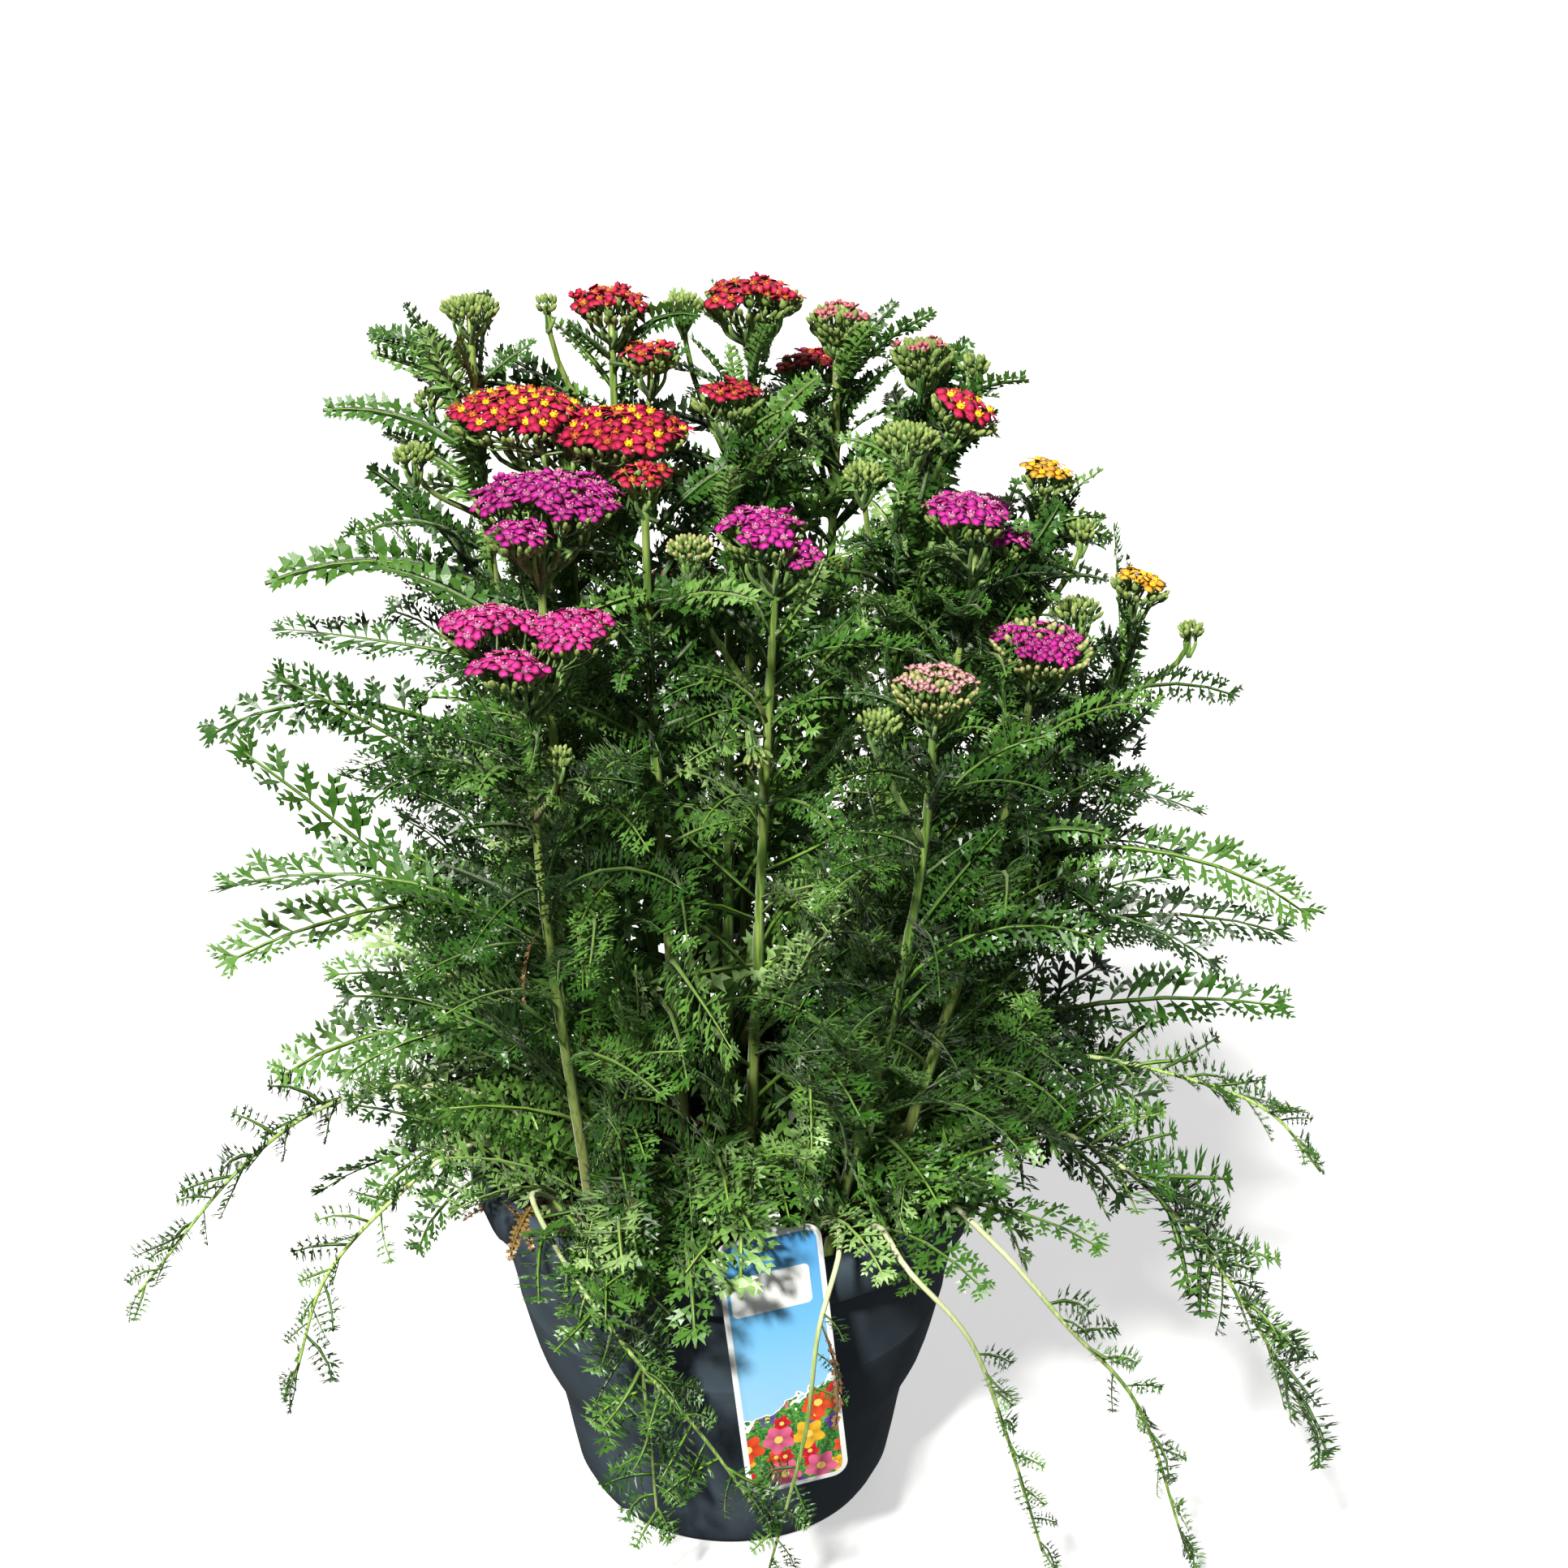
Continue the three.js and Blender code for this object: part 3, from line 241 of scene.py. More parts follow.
# %% A leaflet from lobes
LEAFLETS = {
    "feathery": [
        (0.0, 0, 1.0, 0.19), (0.30, 48, 0.42, 0.15), (0.38, -48, 0.42, 0.15),
        (0.56, 40, 0.38, 0.15), (0.64, -40, 0.36, 0.15), (0.80, 28, 0.26, 0.12),
    ],
    "close": [
        (0.0, 0, 1.0, 0.25), (0.32, 46, 0.44, 0.19), (0.42, -46, 0.42, 0.19),
        (0.62, 36, 0.38, 0.17), (0.70, -34, 0.34, 0.16),
    ],
    "toothed": [(0.0, 0, 1.0, 0.44), (0.34, 46, 0.50, 0.30), (0.52, -42, 0.42, 0.26)],
    "broad": [
        (0.0, 0, 1.0, 0.21), (0.24, 52, 0.46, 0.18), (0.32, -52, 0.44, 0.18),
        (0.48, 42, 0.44, 0.18), (0.56, -42, 0.40, 0.18), (0.74, 30, 0.30, 0.15), (0.80, -28, 0.26, 0.14),
    ],
    "sprig": [(0.0, 0, 1.0, 0.22), (0.22, 44, 0.60, 0.19), (0.34, -42, 0.56, 0.19), (0.58, 32, 0.42, 0.16)],
    "plain": [(0.0, 0, 1.0, 0.38), (0.24, 42, 0.62, 0.30)],
}


def cut_leaflet(lobes, chance):
    """A leaflet one long, its lobes twisted a little out of one plane."""
    blades = []
    for start, angle, length, width in lobes:
        twist, lift = chance.uniform(-16, 16), chance.uniform(-12, 6)
        lay = spread(start, 0, 0, (twist, lift, angle + chance.uniform(-9, 9)),
                     (length * chance.uniform(0.85, 1.12), width, width))
        blades.append(LOBE.moved(lay))
    return joined(blades)


# %% A leaf from leaflets
LEAF_BARE = 0.13  # share of the leaf's length before its first leaflets


def model_rib(rings, skin, size=(1, 1, 1)):
    """A keeled rib from 0 to 1 along X, flat on top, tapering to its tip and a little to its foot."""
    rib = begin(bpy.ops.mesh.primitive_cone_add, vertices=3, radius1=0.066, radius2=0.02, **ALONG_X)
    choose(rib, "EDGE", lambda edge: abs(edge.verts[0].co.x - edge.verts[1].co.x) > 0.5)
    bpy.ops.mesh.subdivide(number_cuts=rings)
    choose(rib)
    turn_about("X", pi / 2)
    resize(*size)
    choose(rib, "VERT", lambda vertex: vertex.co.x < 0.1)
    resize(1, 0.6, 1)
    return take(rib, skin, smooth=True)


def model_leaf(pairs, kind, seed, wing, rings=6, splay=70):
    """A leaf that is one long, its width in shares of half its greatest width, lying along X.

    Its lowest leaflets stand off the rib by the splay, in degrees, and those near the tip lean forward.
    """
    chance = np.random.default_rng(seed)
    # a wing of blade runs down both sides of the rib
    parts = [model_rib(rings, "rib"), model_rib(rings - 2, "blade", (1, wing, 0.4))]
    for i in range(pairs):
        along = (i + 0.5) / pairs
        start = LEAF_BARE + (0.96 - LEAF_BARE) * along
        reach = 0.44 + 1.5 * along - 1.42 * along * along
        for side in (1, -1):
            angle = side * (splay - 26 * along + chance.uniform(-7, 7))
            leaflet = cut_leaflet(LEAFLETS[kind], chance)
            # one unit of length is about eight units of half width, so the leaflet is laid out in half widths
            lay = spread(0, 0, 0, (chance.uniform(-14, 14), chance.uniform(-20, 2), angle),
                         (1.2 * reach * chance.uniform(0.86, 1.1),) * 3)
            points = leaflet.moved(lay).points * (1 / 8, 1, 1) + (start + chance.uniform(-0.011, 0.011), 0, 0)
            parts.append(leaflet.laid(points))
    for side in (1, 0, -1):
        lay = spread(0, 0, 0, (0, 0, 26 * side), (0.6, 0.16, 0.16))
        parts.append(LOBE.laid(LOBE.moved(lay).points * (1 / 8, 1, 1) + (0.93, 0, 0)))
    leaf = joined(parts)
    leaf.along = np.clip(leaf.points[:, 0], 0, 1)
    return leaf


LEAVES = {
    "long": [model_leaf(16, "feathery", seed, 1.7) for seed in (1, 2, 3)],
    "middling": [model_leaf(13, "close", seed, 2.4) for seed in (4, 5, 31)],
    "short": [model_leaf(10, "toothed", seed, 5.5) for seed in (6, 7, 10)],
    "strap": [model_leaf(13, "toothed", seed, 5.0) for seed in (26, 27, 28)],
    "basal": [model_leaf(11, "broad", seed, 1.9) for seed in (8, 9)],
    "sprig": [model_leaf(6, "sprig", seed, 2.0, 4, 54) for seed in (21, 22, 23)],
    "inner": [model_leaf(10, "plain", seed, 2.6, 4) for seed in (24, 25)],
}
print("faces in a leaf", {kind: len(shapes[0].faces) for kind, shapes in LEAVES.items()})

# %% [markdown]
# ## Stalks
#
# A yarrow stem is a grooved rod. One straight rod is modelled from a cylinder: its long edges are subdivided so that
# it can bend, and every second edge is drawn in so that grooves run down it. Each stem is then a copy of the rod,
# bent along that stem's own curve. Thinner rods with fewer sides do for branches and for the threads under a head.

# %% Rods
def model_rod(sides, rings, groove):
    """A rod of radius one from 0 to 1 along X."""
    rod = begin(bpy.ops.mesh.primitive_cylinder_add, vertices=sides, radius=1, **ALONG_X)
    choose(rod, "EDGE", lambda edge: abs(edge.verts[0].co.x - edge.verts[1].co.x) > 0.5)
    bpy.ops.mesh.subdivide(number_cuts=rings)
    if groove < 1:
        step = 2 * pi / sides
        choose(rod, "VERT", lambda vertex: round(atan2(vertex.co.z, vertex.co.y) / step) % 2 == 1)
        resize(1, groove, groove)
    return take(rod, "stem", smooth=True, along=lambda points: points[:, 0])


STEM_ROD = model_rod(12, 27, 0.84)
BRANCH_ROD = model_rod(6, 6, 1.0)
THREAD = model_rod(3, 2, 1.0)
RUNNER_ROD = model_rod(7, 39, 1.0)
print("faces in a rod", len(STEM_ROD.faces), len(BRANCH_ROD.faces), len(THREAD.faces), len(RUNNER_ROD.faces))


def bent(rod, line, radii, skin="stem"):
    """A copy of a rod along a line, with its own radius at each ring."""
    shares = rod.points[:, 0]
    rings = np.unique(shares.round(4))
    line = np.array([line(share) for share in rings])
    ahead = np.gradient(line, axis=0)
    ahead /= np.linalg.norm(ahead, axis=1)[:, None]
    across = np.cross(ahead[0], (0.31, 0.17, 0.92) if abs(ahead[0][2]) < 0.9 else (0.9, 0.3, 0.1))
    frames = []
    for tangent in ahead:
        across = across - tangent * across.dot(tangent)
        across = across / np.linalg.norm(across)
        frames.append((across, np.cross(tangent, across)))
    ring = np.searchsorted(rings, shares.round(4))
    first = np.array([pair[0] for pair in frames])[ring]
    second = np.array([pair[1] for pair in frames])[ring]
    radius = (np.array([radii(share) for share in rings]) if callable(radii) else np.full(len(rings), radii))[ring]
    points = line[ring] + radius[:, None] * (rod.points[:, 1:2] * first + rod.points[:, 2:3] * second)
    copy = rod.laid(points)
    copy.skin[:] = skin
    return copy


# %% [markdown]
# ## The little flowers
#
# What looks like one yarrow flower is a small basket, about 7.5 mm across: five broad petals round a disc of tiny
# tube flowers, on a green cup of scales. A petal is a very flat cone with nine sides, because a flat cone is thin,
# closed and slightly crowned, and its outline can be pulled into a notched edge and a claw. The disc is a low dome
# with grains on it. A bud is the same cup, narrower and closed, and only its tip shows the petals' colour.

# %% Petal, disc and cup
def model_petal():
    """A notched petal along X, from its claw near (0, 0, 0) to its edge at about x = 2.9."""
    petal = begin(
        bpy.ops.mesh.primitive_cone_add,
        vertices=9, radius1=1.5, radius2=0, depth=0.26, end_fill_type="TRIFAN", location=(1.45, 0, 0.13),
    )
    choose(petal, "VERT", lambda vertex: vertex.co.x < 0.6)
    resize(1, 0.66, 1)
    choose(petal, "VERT", lambda vertex: vertex.co.x > 2.9)
    shift(-0.46, 0, 0.06)
    choose(petal, "VERT", lambda vertex: abs(vertex.co.y) > 1.1)
    shift(0, 0, 0.1)
    return take(petal, "petal", smooth=True, along=lambda points: points[:, 0] / 2.9)


def model_disc():
    """The disc in the middle: a low dome with a ring of grains."""
    dome = begin(bpy.ops.mesh.primitive_uv_sphere_add, segments=6, ring_count=3, radius=1.05)
    choose(dome, "VERT", lambda vertex: vertex.co.z < -0.1)
    resize(1, 1, 0.3)
    parts = [take(dome, "disc", smooth=True)]
    for i in range(5):
        angle, out = 72 * i, 0.62
        x, y = out * cos(radians(angle)), out * sin(radians(angle))
        grain = LOBE.moved(spread(x, y, 0.5, (0, -72, angle), (0.85, 0.55, 0.9)))
        grain.skin[:] = "grain"
        parts.append(grain)
    return joined(parts)


def model_cup(rings, tip_skin):
    """A cup of scales below the flower, in [height, radius] rings; its top ring is closed in another skin."""
    low, high = rings[0][0], rings[-1][0]
    aside = 100  # a ring that is done waits this far above, where the next test doesn't find it
    cup = begin(
        bpy.ops.mesh.primitive_cylinder_add,
        vertices=6, radius=1, depth=high - low, location=(0, 0, (low + high) / 2),
    )
    choose(cup, "EDGE", lambda edge: abs(edge.verts[0].co.z - edge.verts[1].co.z) > 1)
    bpy.ops.mesh.subdivide(number_cuts=len(rings) - 2)
    for i, (height, radius) in enumerate(rings):
        level = low + (high - low) * i / (len(rings) - 1)
        choose(cup, "VERT", lambda vertex: abs(vertex.co.z - level) < 0.05)
        resize(radius, radius, 1)
        shift(0, 0, height - level + aside)
    choose(cup)
    shift(0, 0, -aside)
    shape = take(cup, "cup", smooth=True)
    shape.skin[shape.points[shape.faces].mean(1)[:, 2] > rings[-2][0] + 0.1] = tip_skin
    return shape


PETAL, DISC = model_petal(), model_disc()
CUP = model_cup([(-3.4, 0.5), (-1.9, 1.22), (0.1, 0.95)], "cup")


# %% Flowers and buds
def model_floret(openness, seed):
    """A flower at some stage: openness is 1 when its petals lie flat and near 0 while they still stand up."""
    chance = np.random.default_rng(seed)
    disc = spread(size=(1.1, 1.1, 0.8) if openness > 0.6 else (0.7, 0.7, 0.9))
    parts = [CUP, DISC.moved(disc)]
    for i in range(5):
        raised = 8 + 66 * (1 - openness) + chance.uniform(-12, 12) - 14 * (openness > 0.6)
        size = (0.7 + 0.32 * openness) * chance.uniform(0.93, 1.06)
        angle = 72 * i + chance.uniform(-7, 7)
        claw = spread(0.8 * cos(radians(angle)), 0.8 * sin(radians(angle)), 0.12)
        width = size * (0.78 + 0.2 * openness)
        lay = spread(turn=(chance.uniform(-13, 13), -raised, angle), size=(size, width, size))
        parts.append(PETAL.moved(claw @ lay))
    return joined(parts)


FLORETS = [model_floret(1.0, seed) for seed in (11, 12, 13)]
OPENING = [model_floret(0.4, seed) for seed in (14, 15)]
BUD = model_cup([(-3.4, 0.45), (-1.6, 1.12), (0.35, 0.9), (1.25, 0.34)], "petal")
print("faces in a flower", len(FLORETS[0].faces), "in a bud", len(BUD.faces))

# %% [markdown]
# ## Where everything grows
#
# These are the plant's own values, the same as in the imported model: each stem's foot, the top of each of its heads,
# half the width of a head, and the larger leaves with their place on the stem, their azimuth, length, and the slopes
# in degrees at which they leave the stem and end.

# %% Flowering stems
STEMS = [
    dict(name="left_rear", foot=(-22, 4), buds=[((-56, 2, 455), 3.9)], heads=[
        dict(name="red_left_rear", at=(-36, 10, 454), half=12.6),
        dict(name="red_left_small", at=(-23, -9, 442), half=9.6)]),
    dict(name="summit", foot=(4, 12), buds=[((-13, 10, 453), 6.2)], heads=[
        dict(name="red_summit", at=(9, 10, 457), half=17)]),
    dict(name="right_rear", foot=(20, 24), leaves=[(0.9, 25, 34, 60, 30)], heads=[
        dict(name="pink_rear", at=(37, 20, 446), half=10.2),
        dict(name="red_rear", at=(29, 47, 423), half=12)]),
    dict(name="right_high", foot=(38, 6), buds=[((81, 6, 434), 5.2)], heads=[
        dict(name="pink_right", at=(64, 2, 440), half=10.4),
        dict(name="gold_red_right", at=(78, -20, 427), half=11.7, tilt=(-15, 24))]),
    dict(name="budded", foot=(29, -15), buds=[((58, -40, 425), 10), ((44, -51, 416), 6.4)]),
    dict(name="orange_high", foot=(54, -8), buds=[((115, -26, 389), 4.2)],
         leaves=[(0.62, -18, 84, 28, -20)], heads=[
        dict(name="orange_high", at=(104, -20, 406), half=9.6, tilt=(0, 12))]),
    dict(name="orange_low", foot=(60, -24), buds=[((112, -54, 373), 7.8), ((149, -43, 361), 4.2)],
         leaves=[(0.66, -12, 92, 20, -42), (0.5, 4, 96, 16, -16), (0.34, -14, 110, 22, 4)], heads=[
        dict(name="orange_low", at=(133, -40, 376), half=9.8, tilt=(0, 10))]),
    dict(name="magenta_right", foot=(43, -32), heads=[
        dict(name="magenta_right", at=(77, -54, 406), half=15.7,
             lobes=[(0, 0, 0, 15), (15, 4, -10, 7.5)], tilt=(0, 8))]),
    dict(name="pink_low", foot=(50, -48), leaves=[(0.6, -22, 88, 36, -30)], heads=[
        dict(name="pink_low", at=(99, -75, 371), half=15.8, tilt=(-30, 8))]),
    dict(name="pale", foot=(33, -64), buds=[((48, -104, 356), 6.8)], heads=[
        dict(name="pale", at=(65, -95, 365), half=13)]),
    dict(name="magenta_middle", foot=(6, -42), buds=[((-9, -67, 398), 7.2), ((12, -77, 327), 4.8, "hanging")],
         heads=[dict(name="magenta_middle", at=(14, -60, 402), half=15.2,
                     lobes=[(0, 0, 0, 15.2), (12, -3, -8, 8)], tilt=(-60, 6))]),
    dict(name="red_middle", foot=(-1, -20), heads=[dict(name="red_middle", at=(2, -25, 433), half=11.8)]),
    dict(name="red_small", foot=(-13, -36), heads=[dict(name="red_small", at=(-23, -57, 417), half=8.4)]),
    dict(name="gold_red_twin", foot=(-27, -16), heads=[
        dict(name="gold_red_twin", at=(-48, -26, 429), half=28, lobes=[(-17, 5, 0, 23), (17, -5, -3, 21)])]),
    dict(name="magenta_left", foot=(-34, -34), heads=[
        dict(name="magenta_left", at=(-53, -57, 413), half=23, lobes=[(0, 0, 0, 23), (-7, -17, -8, 11)])]),
    dict(name="magenta_low", foot=(-46, -50), buds=[((-48, -103, 344), 4.4)],
         leaves=[(0.62, 176, 112, 34, -18)], heads=[
        dict(name="magenta_low", at=(-57, -86, 380), half=24,
             lobes=[(-12, 2, 0, 15.5), (12, 1, -1, 15), (-5, -12, -8, 12)])]),
    dict(name="budded_left", foot=(-44, -6), buds=[
        ((-80, -4, 456), 9.4), ((-98, -22, 413), 6.6), ((-95, 2, 424), 5.2)],
         leaves=[(0.93, 172, 36, 34, 6), (0.74, 186, 78, 30, -22), (0.66, 168, 84, 14, -6),
                 (0.48, 184, 104, 40, 26), (0.36, 192, 126, 26, -26), (0.24, 176, 92, 24, -14)]),
    dict(name="back_left", foot=(-32, 26), buds=[((-84, 54, 356), 5)], leaves=[(0.5, 150, 100, 30, -20)],
         heads=[dict(name="magenta_back_left", at=(-64, 62, 370), half=14)]),
    dict(name="back_middle", foot=(-8, 42), leaves=[(0.55, 100, 96, 30, -20)],
         heads=[dict(name="red_back", at=(-16, 94, 328), half=15)]),
    dict(name="back_orange", foot=(18, 46), buds=[((22, 106, 316), 5)], leaves=[(0.5, 60, 100, 30, -20)],
         heads=[dict(name="orange_back", at=(38, 92, 332), half=11)]),
    dict(name="back_right", foot=(40, 28), leaves=[(0.55, 28, 100, 30, -20)],
         heads=[dict(name="magenta_back_right", at=(86, 58, 368), half=13.6)]),
    dict(name="back_high", foot=(-2, 26), heads=[dict(name="red_back_high", at=(-8, 58, 378), half=12)]),
]

# %% Runners and tufts
# runners: the points of each one's middle line, and the large leaves at its root
RUNNERS = {
    "left_high": ([(-62, -8, 134), (-80, -12, 163), (-109, -20, 176), (-141, -38, 178), (-166, -58, 167),
                   (-200, -86, 133)], [(196, 92, 30, -34), (160, 84, 48, 0)]),
    "left_low": ([(-60, -27, 134), (-76, -46, 166), (-90, -62, 177), (-113, -81, 167), (-133, -96, 148),
                  (-145, -104, 112)], [(214, 88, 26, -62), (188, 84, 52, 4)]),
    "front_left": ([(-54, -40, 134), (-66, -70, 163), (-50, -106, 156), (-30, -119, 133), (-8, -120, 102),
                    (11, -116, 66)], [(232, 70, 62, -10)]),
    "front": ([(-36, -50, 134), (-38, -78, 160), (-32, -97, 148), (-29, -98, 118), (-27, -95, 88),
               (-25, -89, 42)], [(262, 72, 66, -24), (292, 66, 70, 0)]),
    "label": ([(24, -62, 134), (36, -82, 161), (38, -100, 162), (31, -114, 140), (27, -115, 100),
               (15, -109, 38)], [(282, 76, 64, -30)]),
    "front_right": ([(46, -58, 134), (52, -82, 158), (60, -104, 157), (80, -109, 134), (95, -105, 90),
                     (110, -98, 34)], [(304, 78, 50, -22), (330, 70, 60, 10)]),
    "right_low": ([(60, -44, 134), (72, -60, 156), (92, -77, 147), (116, -86, 121), (140, -88, 92),
                   (161, -88, 30)], [(326, 84, 40, -20)]),
    "right_high": ([(62, 10, 134), (84, -6, 176), (114, -28, 194), (154, -48, 197), (184, -60, 190),
                    (202, -66, 170)], [(6, 86, 44, -8), (30, 84, 46, -20)]),
    "right_long": ([(66, -14, 134), (88, -36, 171), (114, -56, 180), (142, -72, 168), (170, -84, 138),
                    (200, -94, 88)], [(344, 84, 34, -10)]),
}
# tufts: foot, leaves and, on the two at the back, a runner
TUFTS = {
    "front": ((-4, -62), [(250, 84, 70, -36), (268, 92, 66, -84), (286, 70, 76, -10), (228, 78, 66, -14),
                          (310, 74, 74, 10), (180, 66, 76, 20)], []),
    "back_left": ((-44, 48), [(100, 84, 60, -20), (130, 92, 50, -34), (160, 96, 46, -20), (190, 70, 70, 10),
                              (60, 70, 68, 10)],
                  [(-58, 68, 165), (-78, 92, 168), (-96, 112, 142), (-106, 122, 96)]),
    "back_right": ((42, 54), [(80, 84, 60, -20), (50, 94, 50, -34), (20, 96, 46, -16), (110, 72, 68, 10),
                              (350, 70, 70, 10)],
                   [(54, 76, 165), (72, 100, 166), (92, 118, 136), (104, 124, 84)]),
}
print(len(STEMS), "flowering stems,", len(RUNNERS), "runners,", len(TUFTS), "tufts")

# %% [markdown]
# ## The curves that carry the plant
#
# A stalk leaves its foot leaning towards its head and meets the head square, as a cubic Bezier curve does. A runner
# passes through its points on a smooth curve that doesn't overshoot, because its speed follows the square root of the
# distance between them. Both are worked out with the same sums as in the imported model.

# %% Curves and head places
SOIL_TOP, STEM_SINK, CROWN_TOP = 134.0, 11.0, 156.0


def hashed(key, step):
    """A repeatable number from 0 to 1."""
    wave = sin(key * 12.9898 + step * 78.233) * 43758.5453
    return wave - np.floor(wave)


def heading(azimuth):
    return np.array((cos(radians(azimuth)), sin(radians(azimuth)), 0.0))


def stalk_line(start, end, normal):
    """A stalk's curve, as a function from 0 to 1."""
    start, end, normal = (np.asarray(v, float) for v in (start, end, normal))
    reach = 0.4 * np.linalg.norm(end - start)
    pulls = [start, start + 0.35 * (end - start), end - reach * normal, end]
    weights = lambda t: ((1 - t) ** 3, 3 * t * (1 - t) ** 2, 3 * t * t * (1 - t), t ** 3)
    return lambda t: sum(w * p for w, p in zip(weights(t), pulls))


def runner_line(points):
    """A smooth curve through points, as a function of the share of its length."""
    p = [np.array(v, float) for v in points]
    p = [2 * p[0] - p[1], *p, 2 * p[-1] - p[-2]]

    def at(t):
        place = min(max(t, 0.0), 1.0) * (len(p) - 3)
        i = min(int(place), len(p) - 4)
        w = place - i
        a, b, c, d = p[i:i + 4]
        da, db, dc = (sqrt(np.linalg.norm(v)) for v in (b - a, c - b, d - c))
        lead = ((b - a) / da - (c - a) / (da + db) + (c - b) / db) * db
        trail = ((c - b) / db - (d - b) / (db + dc) + (d - c) / dc) * db
        return b + w * (lead + w * (3 * (c - b) - 2 * lead - trail + w * (2 * (b - c) + lead + trail)))

    steps = np.linspace(0, 1, 201)
    marks = np.array([at(t) for t in steps])
    lengths = np.concatenate([[0], np.cumsum(np.linalg.norm(np.diff(marks, axis=0), axis=1))])
    line = lambda share: at(np.interp(share * lengths[-1], lengths, steps))
    line.length = lengths[-1]
    return line


class Head:
    """The place of a flower head or a cluster of buds: its top, the way it faces and its low domes."""

    def __init__(self, at, half, name=None, lobes=None, tilt=(0, 0), hanging=False):
        self.name, self.half, self.at, self.hanging = name, half, np.array(at, float), hanging
        self.lobes = lobes or [(0, 0, 0, half)]
        upright = np.array((0, 0, 1.0)) + heading(tilt[0]) * np.tan(radians(tilt[1]))
        normal = np.array((0.3, -0.3, -1.0)) if hanging else upright
        self.normal = normal / np.linalg.norm(normal)
        self.turn = np.array(Vector((0, 0, 1)).rotation_difference(Vector(self.normal)).to_matrix())
        lowest = min(lobe[2] for lobe in self.lobes)
        self.depth = 4 + 0.3 * half - 0.6 * lowest
        weight = sum(lobe[3] for lobe in self.lobes)
        middle = [sum(lobe[k] * lobe[3] for lobe in self.lobes) / weight for k in (0, 1)]
        self.apex = self.place(*middle, -self.depth)
        self.fork = self.apex - self.normal * (3 + 0.4 * min(half, 20))

    def place(self, x, y, z):
        return self.turn @ (x, y, z) + self.at

    def surface(self, x, y):
        """Height of the domes at a place on the head, and how far out on its own dome that is."""
        share, lobe = min(((hypot(x - lobe[0], y - lobe[1]) / lobe[3], lobe) for lobe in self.lobes),
                          key=lambda pair: pair[0])
        return lobe[2] - 0.26 * lobe[3] * share ** 2, share, lobe


for stem in STEMS:
    stem["flowers"] = [Head(**head) for head in stem.get("heads", [])]
    stem["clusters"] = [Head(bud[0], bud[1], hanging=len(bud) > 2) for bud in stem.get("buds", [])]
    stem["lines"] = []
    for i, head in enumerate(stem["flowers"] + stem["clusters"]):
        end = head.apex + head.normal * (-0.5 if i < len(stem["flowers"]) else 2.5)
        if i == 0:
            start, ahead = (*stem["foot"], SOIL_TOP - STEM_SINK), head.normal
        else:
            start = stem["lines"][0](0.7 if head.hanging else 0.76 + 0.05 * i)
            ahead = (0, -1, 0) if head.hanging else head.normal
        stem["lines"].append(stalk_line(start, end, ahead))
HEADS = [head for stem in STEMS for head in stem["flowers"] + stem["clusters"]]
print(len(HEADS), "heads and bud clusters")

# %% [markdown]
# ## Which way each leaf went
#
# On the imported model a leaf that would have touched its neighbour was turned, lifted or shortened by the first of a
# few set changes that kept it clear. The tip of a leaf is a corner of its node's mesh, so the change that was taken
# is found by trying each one and looking for a corner just where the tip would be.

# %% Leaves on arcs
LEAF_TRIES = [(0, 0, 1)] + [(turn, lift, share) for away, lift, share in (
    (14, 6, 1), (28, -8, 0.95), (42, 10, 0.9), (60, 0, 0.85), (80, 14, 0.8), (105, 4, 0.75), (135, 10, 0.65),
) for turn in (away, -away)]


NEAR = 0.06  # how close a corner has to be to a leaf's tip
GOLDEN_ANGLE = 137.5  # from one leaf of a spiral to the next
LEANING = 45  # a stem whose top is further out than this has its leaves mostly on the outside


class Leaf:
    """A leaf on an arc: its root, azimuth, length, slopes at its root and tip, and its roll about its rib."""

    def __init__(self, root, azimuth, length, rise, droop, roll=None):
        self.root, self.azimuth, self.length = np.asarray(root, float), azimuth, length
        self.rise, self.droop = rise, droop
        self.half = 0.3 * length ** 0.8  # a short leaf is wider for its length
        self.roll = 130 * (hashed(root[0] + root[1], root[2]) - 0.5) if roll is None else roll

    def changed(self, turn, lift, share):
        leaf = Leaf(self.root, self.azimuth + turn, self.length * share, self.rise + lift, self.droop, self.roll)
        leaf.half = self.half * sqrt(share)
        return leaf

    def bend(self, points, sway=0.0, cup=0.0, twist=0.0):
        """Lays points given as shares of the length and of the half width along the leaf's arc."""
        s, across, above = (points * (self.length, self.half, self.half)).T
        roll = np.radians(self.roll + twist * points[:, 0])
        above = above + cup * across * across / self.half
        start = radians(self.rise)
        curve = (radians(self.droop) - start) / self.length
        curve = curve if abs(curve) > 1e-6 else 1e-6
        sideways = across * np.cos(roll) - above * np.sin(roll) + sway * self.length * np.sin(pi * points[:, 0])
        lift = across * np.sin(roll) + above * np.cos(roll)
        slope = start + curve * s
        reach = (np.sin(slope) - sin(start)) / curve - lift * np.sin(slope)
        height = (cos(start) - np.cos(slope)) / curve + lift * np.cos(slope)
        return (self.root + reach[:, None] * heading(self.azimuth) + sideways[:, None] * heading(self.azimuth + 90)
                + height[:, None] * (0, 0, 1))

    def rib(self, count=9):
        return self.bend(np.array([(share, 0, 0) for share in np.linspace(0, 1, count)]))


def grown(node, leaves):
    """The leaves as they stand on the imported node, without those that found no room."""
    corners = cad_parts[node].data.vertices
    tree = KDTree(len(corners))
    for i, vertex in enumerate(corners):
        tree.insert(vertex.co / MM, i)
    tree.balance()
    found = []
    for leaf in leaves:
        for change in LEAF_TRIES:
            leaf_there = leaf.changed(*change)
            if tree.find(leaf_there.rib(2)[1])[2] < NEAR:
                found.append(leaf_there)
                break
    return found


